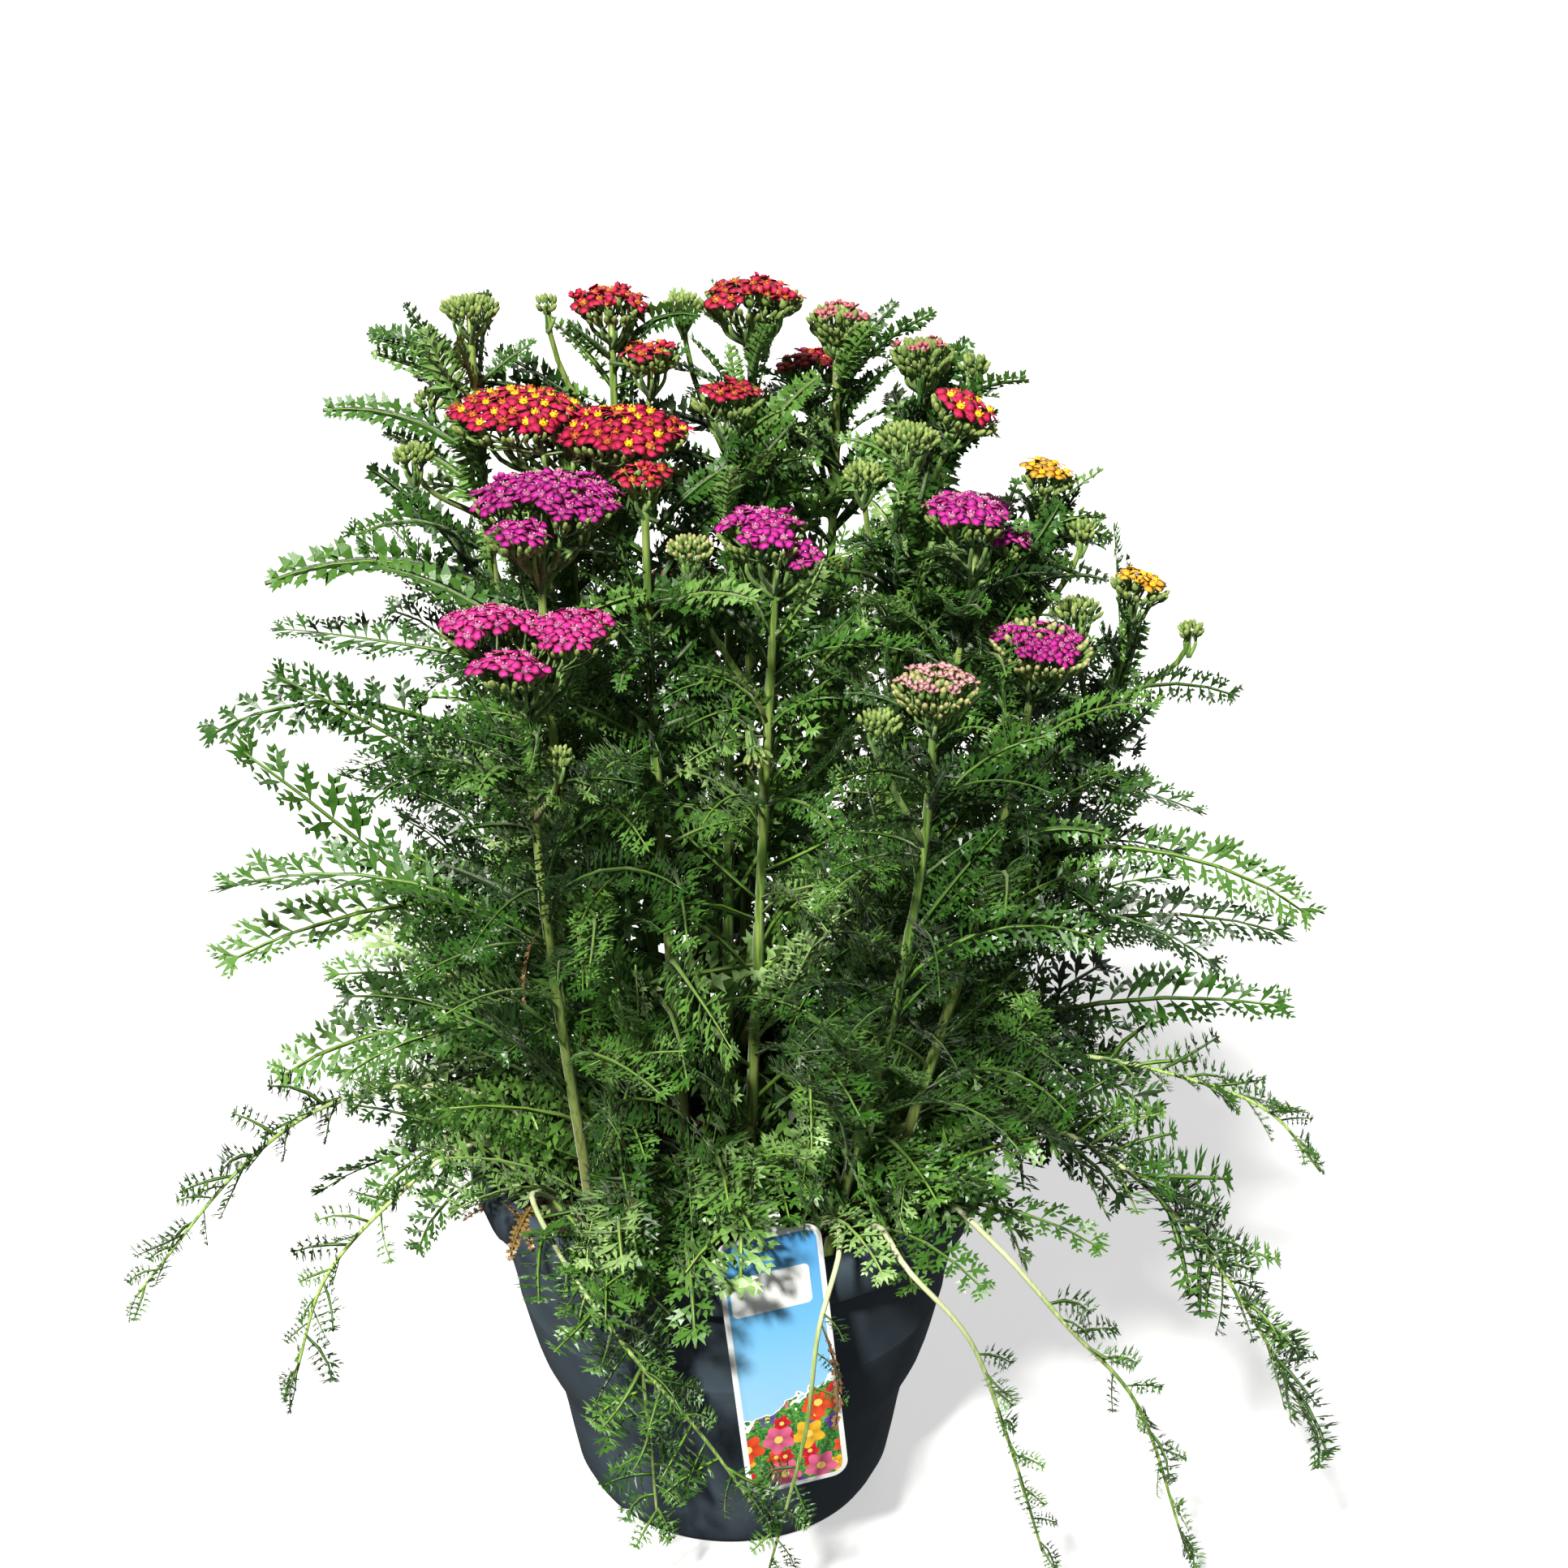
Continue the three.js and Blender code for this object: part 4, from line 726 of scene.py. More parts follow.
def stem_leaves(stem, index):
    """The leaves set for a stem, and those that spiral up it."""
    line = stem["lines"][0]
    top = line(1.0)
    outward, swing = degrees(atan2(top[1], top[0])), 0.5 if hypot(top[0], top[1]) > LEANING else 1.0
    leaves = [Leaf(line(place), *rest) for place, *rest in stem.get("leaves", [])]
    for i in range(4):
        along = (i + 0.5) / 4
        length = (98 + (52 - 98) * along) * (0.88 + 0.24 * hashed(index, 3 * i))
        spiral = (GOLDEN_ANGLE * i + 40 * index + 180) % 360 - 180
        azimuth = outward + swing * spiral + 30 * (hashed(index, 3 * i + 1) - 0.5)
        rise = 34 + 26 * hashed(index, 3 * i + 2)
        leaves.append(Leaf(line(0.22 + 0.74 * along), azimuth, length, rise, rise - 56))
    return leaves


for index, stem in enumerate(STEMS):
    stem["grown"] = grown("stem_" + stem["name"], stem_leaves(stem, index))
print("leaves on stems:", sum(len(stem["grown"]) for stem in STEMS))
runner_parts, tuft_parts = {}, {}
for name, (path, fronds) in RUNNERS.items():
    line = runner_line([(path[0][0], path[0][1], SOIL_TOP - STEM_SINK), *path])
    leaves = [Leaf(line(0.09 + 0.035 * i), *frond) for i, frond in enumerate(fronds)]
    runner_parts[name] = (line, grown("runner_" + name, leaves))
for name, ((x, y), fronds, runner) in TUFTS.items():
    leaves = [Leaf((x, y, SOIL_TOP + 3 + 3.2 * i), *frond) for i, frond in enumerate(fronds)]
    line = runner_line([(x, y, CROWN_TOP - 3), *runner]) if runner else None
    tuft_parts[name] = ((x, y), line, grown("tuft_" + name, leaves))
print("at runners:", sum(len(part[1]) for part in runner_parts.values()), "in tufts:",
      sum(len(part[2]) for part in tuft_parts.values()))

# %% [markdown]
# ## Finishes
#
# Every finish is a small network of nodes that is worked out from the piece's own coordinates, so it stays on the
# piece from any side. `add_node` is the one helper: it makes a node, sets it and links it, and an input that is given
# as a node takes that node's result. The copies carry two numbers for the finishes to read: `tone`, one random number
# a copy, so that no two leaves or flowers have quite the same colour, and `along`, which runs from 0 where a leaf,
# stalk or petal starts to 1 at its end.

# %% Nodes and colours
def linear(colour):
    """A linear colour from an sRGB hex value."""
    parts = [(colour >> shift & 255) / 255 for shift in (16, 8, 0)]
    return (*(c / 12.92 if c <= 0.04045 else ((c + 0.055) / 1.055) ** 2.4 for c in parts), 1.0)


def result(node):
    """The first of a node's outputs that is in use."""
    return next(output for output in node.outputs if output.enabled)


def add_node(tree, kind, inputs=None, stops=None, feeds=None, **settings):
    """Makes a node with its settings, links or sets its inputs, and feeds its result to the shader if asked."""
    made = tree.nodes.new("ShaderNode" + kind)
    for name, value in settings.items():
        setattr(made, name, value)
    for name, value in (inputs or {}).items():
        value = result(value) if isinstance(value, bpy.types.Node) else value
        if isinstance(value, bpy.types.NodeSocket):
            tree.links.new(value, made.inputs[name])
        else:
            made.inputs[name].default_value = value
    if stops:
        elements = made.color_ramp.elements
        while len(elements) < len(stops):
            elements.new(0.5)
        for element, (place, colour) in zip(elements, stops):
            element.position, element.color = place, linear(colour)
    if feeds:
        tree.links.new(result(made), tree.nodes["Principled BSDF"].inputs[feeds])
    return made


def new_finish(name, roughness, specular=0.5, **constants):
    """A material with its shader set; gives the material, its tree and the object's coordinates."""
    finish = bpy.data.materials.new(name)
    finish.use_nodes = True
    tree = finish.node_tree
    shader = tree.nodes["Principled BSDF"]
    shader.inputs["Roughness"].default_value = roughness
    shader.inputs["Specular IOR Level"].default_value = specular
    for socket, value in constants.items():
        shader.inputs[socket.replace("_", " ")].default_value = value
    return finish, tree, add_node(tree, "TexCoord").outputs["Object"]


FINISHES = {}

# %% [markdown]
# ### Leaf blade and rib
#
# Yarrow leaves are covered in fine short hairs. Up close each hair is clear, but together they give a soft grey bloom
# where light grazes the blade, which is what sheen draws. Under it the green runs from dark to fresh, leaf by leaf,
# in spots of about 4 mm. The rib is a paler, yellower green. A dead leaf is papery and brown, or yellow while it is
# still dying.

# %% Leaf finishes
def leaf_finish(name, greens, bloom):
    finish, tree, place = new_finish(
        name, 0.42, 0.62, Sheen_Weight=bloom, Sheen_Roughness=0.4, Sheen_Tint=linear(0xEEF2E4))
    tone, along = (add_node(tree, "Attribute", attribute_name=name).outputs["Fac"] for name in ("tone", "along"))
    spots = add_node(tree, "TexNoise", {"Vector": place, "Scale": 250.0, "Detail": 3.0})
    mixed = add_node(tree, "Math", {0: spots, 1: 0.5, 2: tone}, operation="MULTIPLY_ADD")
    shifted = add_node(tree, "Math", {0: along, 1: 0.25, 2: mixed}, operation="MULTIPLY_ADD")
    share = add_node(tree, "MapRange", {"Value": shifted, "From Min": 0.25, "From Max": 1.62})
    add_node(tree, "ValToRGB", {"Fac": share}, list(zip((0.0, 0.35, 0.72, 1.0), greens)), "Base Color")
    fine = add_node(tree, "TexNoise", {"Vector": place, "Scale": 1400.0, "Detail": 2.0})
    add_node(tree, "Bump", {"Height": fine, "Strength": 0.35, "Distance": 0.0002}, feeds="Normal")
    return finish


FINISHES["blade"] = leaf_finish("yarrow_leaf_downy", (0x112E03, 0x2B5810, 0x5C8836, 0xA0BA7C), 0.16)
FINISHES["rib"] = leaf_finish("leaf_rib_downy", (0x3A6612, 0x5A841E, 0x7EA238, 0xA4C066), 0.16)
FINISHES["dry"] = leaf_finish("leaf_withered_papery", (0x4E3320, 0x7D5A36, 0xA58452, 0xCBB07A), 0.1)
FINISHES["dying"] = leaf_finish("leaf_yellowed_papery", (0x86682A, 0xAD8636, 0xC9A648, 0xDCC474), 0.1)


# %% [markdown]
# ### Stem skin
#
# A stem is a fibrous rod: fine ribs run along it, so its colour comes in thin streaks, pale yellow-green on the ribs
# and darker between them. Old stems turn brownish red near the soil. Noise that is squeezed along the stem's length
# draws the streaks.

# %% Stem finishes
def stem_finish(name, greens, foot, foot_reach=0.34, foot_strength=2.6):
    """A stem's skin; the foot's colour shows up to a share of the stem's length."""
    finish, tree, place = new_finish(name, 0.5, 0.4, Sheen_Weight=0.25, Sheen_Tint=linear(0xE6EDDC))
    tone, along = (add_node(tree, "Attribute", attribute_name=name).outputs["Fac"] for name in ("tone", "along"))
    squeezed = add_node(tree, "Mapping", {"Vector": place, "Scale": (1.0, 1.0, 0.06)})
    streaks = add_node(tree, "TexNoise", {"Vector": squeezed, "Scale": 900.0, "Detail": 3.0})
    mixed = add_node(tree, "Math", {0: tone, 1: 0.35, 2: streaks}, operation="MULTIPLY_ADD")
    green = add_node(tree, "ValToRGB", {"Fac": mixed}, list(zip((0.45, 0.64, 0.82), greens)))
    low = add_node(tree, "MapRange", {"Value": along, "From Min": foot_reach, "From Max": 0.02})
    blotch = add_node(tree, "TexNoise", {"Vector": place, "Scale": 90.0, "Detail": 2.0})
    worn = add_node(tree, "Math", {0: low, 1: blotch}, operation="MULTIPLY")
    aged = add_node(tree, "Math", {0: worn, 1: tone}, operation="MULTIPLY")
    old = add_node(tree, "Math", {0: aged, 1: foot_strength}, operation="MULTIPLY", use_clamp=True)
    add_node(tree, "Mix", {0: old, 6: green, 7: linear(foot)}, data_type="RGBA", feeds="Base Color")
    add_node(tree, "Bump", {"Height": streaks, "Strength": 0.5, "Distance": 0.0003}, feeds="Normal")
    return finish


FINISHES["stem"] = stem_finish("stem_skin_ridged", (0x3C5A18, 0x5E802C, 0x8CA04E), 0x6A4A38)
FINISHES["thread"] = stem_finish("flower_stalk_downy", (0x3A5A22, 0x547832, 0x7C9C4E), 0x587C36)
FINISHES["runner"] = stem_finish("runner_skin_pale", (0x4E7228, 0x74963C, 0xA0B860), 0xCED2A6, 0.66, 6.0)

# %% [markdown]
# ### Petals, discs and cups
#
# A yarrow petal is matt and velvety, with faint veins from claw to edge, and it fades a little paler towards its edge
# as the flower ages. The disc is dusty with pollen. The scales of the cup are olive green.

# %% Petal finishes
def petal_finish(name, claw, middle, edge, claw_reach=0.2):
    """A petal's skin; claw_reach is the share of its length that has the claw's colour."""
    finish, tree, place = new_finish(
        name, 0.6, 0.25, Sheen_Weight=0.2, Sheen_Roughness=0.4, Sheen_Tint=linear(edge))
    tone, along = (add_node(tree, "Attribute", attribute_name=name).outputs["Fac"] for name in ("tone", "along"))
    veins = add_node(tree, "TexNoise", {"Vector": place, "Scale": 1500.0, "Detail": 2.0})
    ragged = add_node(tree, "Math", {0: veins, 1: 0.24, 2: along}, operation="MULTIPLY_ADD")
    places = (claw_reach + 0.04, claw_reach + 0.2, 1.0)
    colour = add_node(tree, "ValToRGB", {"Fac": ragged}, list(zip(places, (claw, middle, edge))))
    shade = add_node(tree, "MapRange", {"Value": tone, "To Min": 0.68, "To Max": 1.16})
    add_node(tree, "HueSaturation", {"Value": shade, "Color": colour}, feeds="Base Color")
    add_node(tree, "Bump", {"Height": veins, "Strength": 0.4, "Distance": 0.0002}, feeds="Normal")
    return finish


# finish, and the colours of claw, middle and edge
PETALS = {
    "petal_red": ("petal_crimson_velvety", 0x7E1420, 0xAE0F34, 0xC8385A),
    "petal_gold": ("petal_crimson_gold_eyed", 0xD88A2A, 0xB4083E, 0xCA2E5A, 0.05),
    "petal_magenta": ("petal_magenta_velvety", 0xCC84B6, 0xAA0E78, 0xC4389C, 0.05),
    "petal_fuchsia": ("petal_fuchsia_velvety", 0xE2A0C4, 0xC41878, 0xD84696, 0.1),
    "petal_pink": ("petal_pink_opening", 0xC8B878, 0xC05868, 0xD27A7E),
    "petal_pale": ("petal_pale_opening", 0xD8CFA0, 0xD8A9A2, 0xDE9EA6),
    "petal_orange": ("petal_orange_velvety", 0xB86A1C, 0xE09A2A, 0xEEB848),
    "petal_cream": ("bud_tip_cream", 0x8C9A54, 0xB8B884, 0xDAD2B0),
    "petal_blush": ("bud_tip_blush", 0xB4A674, 0xD4AC9C, 0xDC8CA0),
    "petal_dusky": ("bud_tip_dusky", 0x7E8C4C, 0x9A7F58, 0xB58468),
}
FINISHES.update({skin: petal_finish(*values) for skin, values in PETALS.items()})


# %% Disc and cup finishes
def grainy_finish(name, colours, size, roughness):
    """A matt finish in grains of a given size in millimetres."""
    finish, tree, place = new_finish(name, roughness, 0.3)
    tone = add_node(tree, "Attribute", attribute_name="tone").outputs["Fac"]
    grain = add_node(tree, "TexNoise", {"Vector": place, "Scale": 1 / (size * MM), "Detail": 2.0})
    mixed = add_node(tree, "Math", {0: tone, 1: 0.3, 2: grain}, operation="MULTIPLY_ADD")
    add_node(tree, "ValToRGB", {"Fac": mixed}, list(zip((0.35, 0.65, 0.95), colours)), "Base Color")
    add_node(tree, "Bump", {"Height": grain, "Strength": 0.5, "Distance": 0.0002}, feeds="Normal")
    return finish


GRAINS = {
    "disc_yellow": ("disc_pollen_yellow", (0xE09A10, 0xFFC41C, 0xFFE04A), 0.5, 0.7),
    "disc_rusty": ("disc_pollen_rusty", (0x8E2A1E, 0xC0602A, 0xE8A83C), 0.5, 0.7),
    "disc_pale": ("disc_pollen_pale", (0xB8609A, 0xCF8FA8, 0xE8CDB4), 0.5, 0.7),
    "disc_mauve": ("disc_pollen_mauve", (0x7E1C62, 0xA83E88, 0xD08CB0), 0.5, 0.7),
    "cup": ("flower_cup_scales", (0x46662C, 0x708C46, 0x9CAC64), 0.8, 0.65),
}
FINISHES.update({skin: grainy_finish(*values) for skin, values in GRAINS.items()})
print("finishes", sorted(FINISHES))

# %% [markdown]
# ## Laying the copies
#
# Copies are gathered as arrays and made into one mesh a node, because a plant of many thousand separate objects would
# be slow to handle. `fuse` makes the mesh, gives each face its finish, stores the two numbers for the finishes, hangs
# the piece under the plant's root and hides the imported nodes that it stands for.

# %% Fusing
triangles = {}  # how many each piece has


def dressed(shape, **skins):
    """A copy of a shape with some of its skins changed for others."""
    copy = shape.laid(shape.points)
    for old, new in skins.items():
        copy.skin[shape.skin == old] = new
    return copy


def fuse(name, parts, slot, *nodes):
    """One piece from shapes with a tone each, in place of the nodes."""
    whole = joined([shape for shape, tone in parts])
    tones = np.concatenate([np.full(len(shape.points), tone) for shape, tone in parts])
    mesh = bpy.data.meshes.new(name)
    mesh.from_pydata((whole.points * MM).tolist(), [], whole.faces.tolist())
    used = sorted(set(whole.skin))
    for skin in used:
        mesh.materials.append(FINISHES[skin])
    mesh.polygons.foreach_set("material_index", np.searchsorted(used, whole.skin).astype(np.int32))
    mesh.polygons.foreach_set("use_smooth", whole.smooth)
    for attribute, values in (("tone", tones), ("along", whole.along)):
        mesh.attributes.new(attribute, "FLOAT", "POINT").data.foreach_set("value", values.astype(np.float32))
    mesh.update()
    piece = bpy.data.objects.new(name, mesh)
    bpy.context.collection.objects.link(piece)
    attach(piece, "root")
    if nodes:
        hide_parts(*nodes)
    triangles[name] = len(whole.faces)


# %% Leaves of every size
# a leaf is a copy of the first kind here that it is longer than, or else a short one
KIND_LENGTHS = {"long": 62, "middling": 40}
# but deep inside the plant it is an inner one, near the highest flowers a strap, and at the back one kind coarser
INNER_REACH, INNER_HEIGHT, STRAP_HEIGHT, STRAP_LENGTH, BACK = 62.0, 345.0, 350.0, 36.0, 32.0
COARSER = {"long": "middling", "middling": "short"}
FAR_OUT = 96.0  # distance of a leaf's middle from the plant's axis from which it is darker


def leaf_copy(leaf, chance, kind=None, curl=1.0):
    """A copy of the leaf that suits this length and place, bent along its arc, with a curl of its own."""
    x, y, z = leaf.rib(3)[1]
    if kind is None:
        kind = next((kind for kind, least in KIND_LENGTHS.items() if leaf.length > least), "short")
        if hypot(x, y) < INNER_REACH and z < INNER_HEIGHT:
            kind = "inner"
        elif leaf.root[2] > STRAP_HEIGHT and leaf.length > STRAP_LENGTH:
            kind = "strap"
        elif y > BACK:
            kind = COARSER.get(kind, kind)
    shape = LEAVES[kind][chance.integers(len(LEAVES[kind]))]
    sway, cup, twist = chance.uniform(-0.07, 0.07), chance.uniform(-0.15, 0.4), chance.uniform(-45, 45)
    # big basal leaves are a lighter green, painted light that brightens the low leaves in the shade of those above, and
    # leaves whose middle reaches far out are darker
    far = hypot(x, y) > FAR_OUT
    tone = chance.uniform(0.4, 1.2) - 0.7 * far if kind == "basal" else chance.uniform(0, 1) - 0.3 * far
    return shape.laid(leaf.bend(shape.points, sway * curl, cup, twist * curl)), tone


# %% [markdown]
# ## Filling the plant
#
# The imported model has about 130 leaves, enough for its form. The real plant has over a thousand. The others are grown
# by the same rule, smaller near the flowers, and a leaf is kept only where it has room: not through a flower or in
# front of one, not in front of the label, not through the pot, not across the stretches of rim and of front stems
# that stay bare, and not further out than the plant's own leaves reach. A leaf turns its face to the light, so each
# is rolled about its rib until it looks outward, give or take.

# %% Room for a leaf
# how far out a leaf may reach, at heights from the soil to the highest flowers
ENVELOPE = [(134, 128), (170, 150), (230, 158), (300, 150), (360, 138), (410, 130), (450, 112)]
TOP_LIMIT = 455.0
# how low it may come over the soil, over the rim and outside it: distance out, lowest height
LOWEST = [(84, 138), (99, 152), (1000, 96)]
LABEL_MIDDLE = np.array((14.0, -103.0, 118.0))
TO_FRONT = np.array((0.0, -0.91, 0.42))
# places on the rim, and on the soil inside it, that no added leaf hides: azimuth, distance out, height, half width
BARE_RIM = [(200, 93, 143, 9), (210, 94, 140, 9), (220, 94, 138, 9), (231, 94, 138, 8), (214, 78, 136, 9),
            (294, 95, 134, 8), (306, 95, 134, 9), (319, 95, 134, 9), (332, 95, 136, 8), (306, 95, 122, 9)]
BARE_PLACES = [(heading(azimuth) * out + (0, 0, height), half) for azimuth, out, height, half in BARE_RIM]
# the open air beside the upper orange head
BARE_PLACES.append((np.array((116.0, 71.0, 386.0)), 18))
# stretches of front stems that stay in view: stem, first and last share of its length
BARE_STEMS = {
    "magenta_low": (0.12, 0.55), "magenta_middle": (0.42, 0.92), "pale": (0.1, 0.85), "pink_low": (0.3, 0.6),
}
SPOT_STEP, SPOT_HALF = 0.035, 6  # share of a stem from one bare spot to the next, and half the width of a spot
for stem in STEMS:
    for share in np.arange(*BARE_STEMS.get(stem["name"], (0, 0)), SPOT_STEP):
        BARE_PLACES.append((stem["lines"][0](share), SPOT_HALF))


def is_in_front(points, place, half):
    """True where a point would hide a round spot from a viewer in front."""
    near = points - place
    ahead = near @ TO_FRONT
    return np.any((ahead > 0) & (np.linalg.norm(near - ahead[:, None] * TO_FRONT, axis=1) < half))


def has_room(points):
    """True where a leaf's rib can run."""
    for x, y, z in points:
        out = hypot(x, y)
        if z < next(lowest for reach, lowest in LOWEST if out < reach):
            return False
        if z > TOP_LIMIT or out > np.interp(z, *zip(*ENVELOPE)):
            return False
    for head in HEADS:
        local = (points - head.at) @ head.turn
        flat = np.hypot(local[:, 0], local[:, 1])
        if np.any((flat < head.half + 2) & (local[:, 2] > -5 - 0.12 * head.half) & (local[:, 2] < 9)):
            return False
        if is_in_front(points, head.at, head.half * 0.85 + 2):
            return False
    if any(is_in_front(points, place, half) for place, half in BARE_PLACES):
        return False
    near = points - LABEL_MIDDLE
    return not np.any((near[:, 1] < 6) & (np.abs(near[:, 0]) < 22) & (near[:, 2] < 52))


def try_leaf(leaf):
    """The leaf, turned or lifted if it needs to be, or None."""
    for change in LEAF_TRIES[:9]:
        tried = leaf.changed(*change)
        if has_room(tried.rib()[2:]):
            return tried
    return None


def front_roll(root, azimuth):
    """How much of a roll, from -1 to 1, turns a leaf's face to the front, or behind the plant to the back."""
    return cos(radians(azimuth)) * (1 if root[1] < 35 else -1)


def facing_roll(root, azimuth, chance):
    """A roll that turns the leaf's face outward, away from the plant's middle, and somewhat to the front."""
    outward = 55 * sin(radians(azimuth) - atan2(root[1], root[0]))
    return outward + 28 * front_roll(root, azimuth) + chance.uniform(-34, 34)


def fill_stem(stem, index, low, high, step, longest, shortest):
    """More leaves for a stretch of a stem, one for each step in millimetres, shorter towards its top."""
    chance = chance_for("fill", index)
    line = stem["lines"][0]
    top = line(1.0)
    outward, swing = degrees(atan2(top[1], top[0])), 0.6 if hypot(top[0], top[1]) > LEANING else 1.0
    added = []
    count = int((high - low) * (top[2] - SOIL_TOP) / step)
    for i in range(count):
        share = (i + chance.uniform(0.2, 0.8)) / count
        length = (longest + (shortest - longest) * share ** 1.3) * chance.uniform(0.8, 1.2)
        azimuth = outward + swing * ((GOLDEN_ANGLE * i + chance.uniform(-30, 30) + 70 * index) % 360 - 180)
        rise = chance.uniform(22, 72) + 12 * share
        root = line(low + (high - low) * share)
        leaf = try_leaf(Leaf(root, azimuth, length, rise, rise - chance.uniform(-25, 95),
                             facing_roll(root, azimuth, chance)))
        if leaf:
            leaf.half *= chance.uniform(0.9, 1.15)
            added.append(leaf)
    return added


# bands of leaves up a stem: what is added to its index to give the band draws of its own, first and last share of
# the stem's length, step, lengths of the lowest and the highest leaf
BANDS = [(0, 0.12, 0.96, 11.6, 92, 42), (50, 0.52, 0.97, 7.8, 50, 30)]
TOP_BAND, CROWDED_BAND = (90, 0.78, 0.99, 5, 40, 28), (170, 0.66, 0.96, 5, 52, 36)
BARE_TOP = "budded_left"
# the stems whose tops stand closest together carry the most leaves up there
CROWDED = ("right_rear", "right_high", "budded", "red_middle", "summit", "orange_high")
for index, stem in enumerate(STEMS):
    bands = BANDS + [TOP_BAND] * (stem["name"] != BARE_TOP) + [CROWDED_BAND] * (stem["name"] in CROWDED)
    stem["filled"] = [leaf for added, *band in bands for leaf in fill_stem(stem, index + added, *band)]
print("leaves added on stems:", sum(len(stem["filled"]) for stem in STEMS))

# %% [markdown]
# ## Flower heads
#
# A head is a corymb: its flowers sit side by side at one level, each on its own stalk, and the stalks gather in
# groups of six to nine on branches that fork from the top of the stem. So each head is laid in three steps: the
# flowers in a close packing over the head's domes, threads down from each flower to the hub of its group, and a
# branch from each hub to the fork. Unopened buds ring the edge, a little lower, mostly green.

# %% Florets, threads and branches of a head
# shares of open and of opening flowers, share of the edge that has buds, flower spacing, and what follows petal_ or
# disc_ in the finishes of the petals, the disc, its grains and the tips of the buds
COLOURS = {
    "red": (0.9, 0.1, 0.9, 5.7, "red", "rusty", "rusty", "dusky"),
    "gold": (1.0, 0.0, 0.7, 6.5, "gold", "yellow", "yellow", "cream"),
    "magenta": (0.95, 0.05, 0.7, 5.7, "magenta", "mauve", "pale", "dusky"),
    "mixed": (0.45, 0.08, 1.0, 4.3, "magenta", "mauve", "pale", "blush"),
    "pink": (0.03, 0.4, 1.0, 3.7, "pink", "pale", "pale", "dusky"),
    "pale": (0.0, 0.75, 1.0, 3.5, "pale", "pale", "pale", "blush"),
    "orange": (0.9, 0.1, 0.7, 5.2, "orange", "yellow", "yellow", "cream"),
}
# heads that are only opening have deep sides of closed buds. For plain and for deep heads: how far apart the buds at
# the edge are, and their rings as inset and drop
DEEP_KINDS = ("pink", "pale", "mixed")
BUD_SPACINGS = (3.4, 3.0)
EDGE_RINGS = [((0.9, 2.2), (3.4, 4.0)), ((0.6, 2.0), (1.8, 4.2), (3.6, 6.2), (5.8, 7.8))]
EYELESS_SHARE = 0.35  # of the gold-eyed flowers, those whose disc has gone brown
FUCHSIA_HEADS, MIXED_HEADS = ("magenta_low", "magenta_back_left"), ("pink_low",)
BLUSHING_STEM = "magenta_middle"  # its closed buds show pink tips already
PACKED_REACH = 44  # half width of the square that the packing fills, wider than any head


def upright_copy(shape, place, up, spin, size):
    """A copy of a flower at a place, its axis along up, turned about it by spin degrees."""
    turn = Vector((0, 0, 1)).rotation_difference(Vector(up)).to_matrix().to_4x4()
    matrix = Matrix.Translation(place) @ turn @ Matrix.Rotation(radians(spin), 4, "Z") @ Matrix.Scale(size, 4)
    return shape.moved(matrix)


def packed_places(head, spacing, margin, chance):
    """Places over the head's domes in a close six-sided packing, shaken a little: point and direction of each."""
    rows = int(PACKED_REACH / spacing)
    places = []
    for row in range(-rows, rows + 1):
        for column in range(-rows, rows + 1):
            shake = chance.uniform(-0.15, 0.15, 3) * spacing
            x, y = spacing * (column + row / 2) + shake[0], spacing * row * sin(pi / 3) + shake[1]
            z, share, lobe = head.surface(x, y)
            dx, dy = x - lobe[0], y - lobe[1]
            if hypot(dx, dy) < max(lobe[3] - margin, 0.5):
                lean = 0.5 * share / max(hypot(dx, dy), 0.1)
                up = head.turn @ (dx * lean, dy * lean, 1.0)
                places.append((head.place(x, y, z + 0.8 * shake[2]), up / np.linalg.norm(up)))
    return places


def edge_places(head, share_of_ring, spacing, rings, chance):
    """Places round the edge of each dome, in rings that lie lower and further in than its flowers."""
    places = []
    for dx, dy, dz, radius in head.lobes:
        for inset, drop in rings:
            count = int(2 * pi * radius / spacing)
            for i in range(count):
                angle, keep = 2 * pi * (i + chance.uniform(-0.3, 0.3)) / count, chance.uniform()
                x, y = dx + (radius - inset) * cos(angle), dy + (radius - inset) * sin(angle)
                if keep < share_of_ring and head.surface(x, y)[2] == (dx, dy, dz, radius):
                    up = head.turn @ (0.8 * cos(angle), 0.8 * sin(angle), 1.0)
                    height = dz - 0.2 * radius - drop + chance.uniform(-0.8, 0.8)
                    places.append((head.place(x, y, height), up / np.linalg.norm(up)))
    return places


def hang_threads(head, places, chance, group):
    """Threads from each place down to the hub of its group, and branches from the hubs to the fork."""
    parts = []
    middle = np.mean([place for place, up in places], axis=0)
    around = sorted(places, key=lambda item: atan2(*((item[0] - middle) @ head.turn)[:2]))
    is_inner = lambda item: np.linalg.norm(item[0] - middle) < 0.4 * head.half
    thickness = 0.75 + 0.012 * head.half
    for ring in ([item for item in around if is_inner(item)], [item for item in around if not is_inner(item)]):
        for i in range(0, len(ring), group):
            bunch = ring[i:i + group]
            centre = np.mean([place for place, up in bunch], axis=0) - head.normal * 3.4
            hub = head.fork + (centre - head.fork) * 0.74
            root = head.fork - head.normal * chance.uniform(0.5, 1.5 + 0.3 * head.half)
            branch = bent(BRANCH_ROD, stalk_line(root, hub, head.normal), lambda t: thickness * (1 - 0.35 * t),
                          "thread")
            parts.append((branch, chance.uniform(0, 1)))
            for place, up in bunch:
                foot = place - up * 3.0
                parts.append((bent(THREAD, stalk_line(hub, foot, up), 0.42, "thread"), chance.uniform(0, 1)))
    return parts


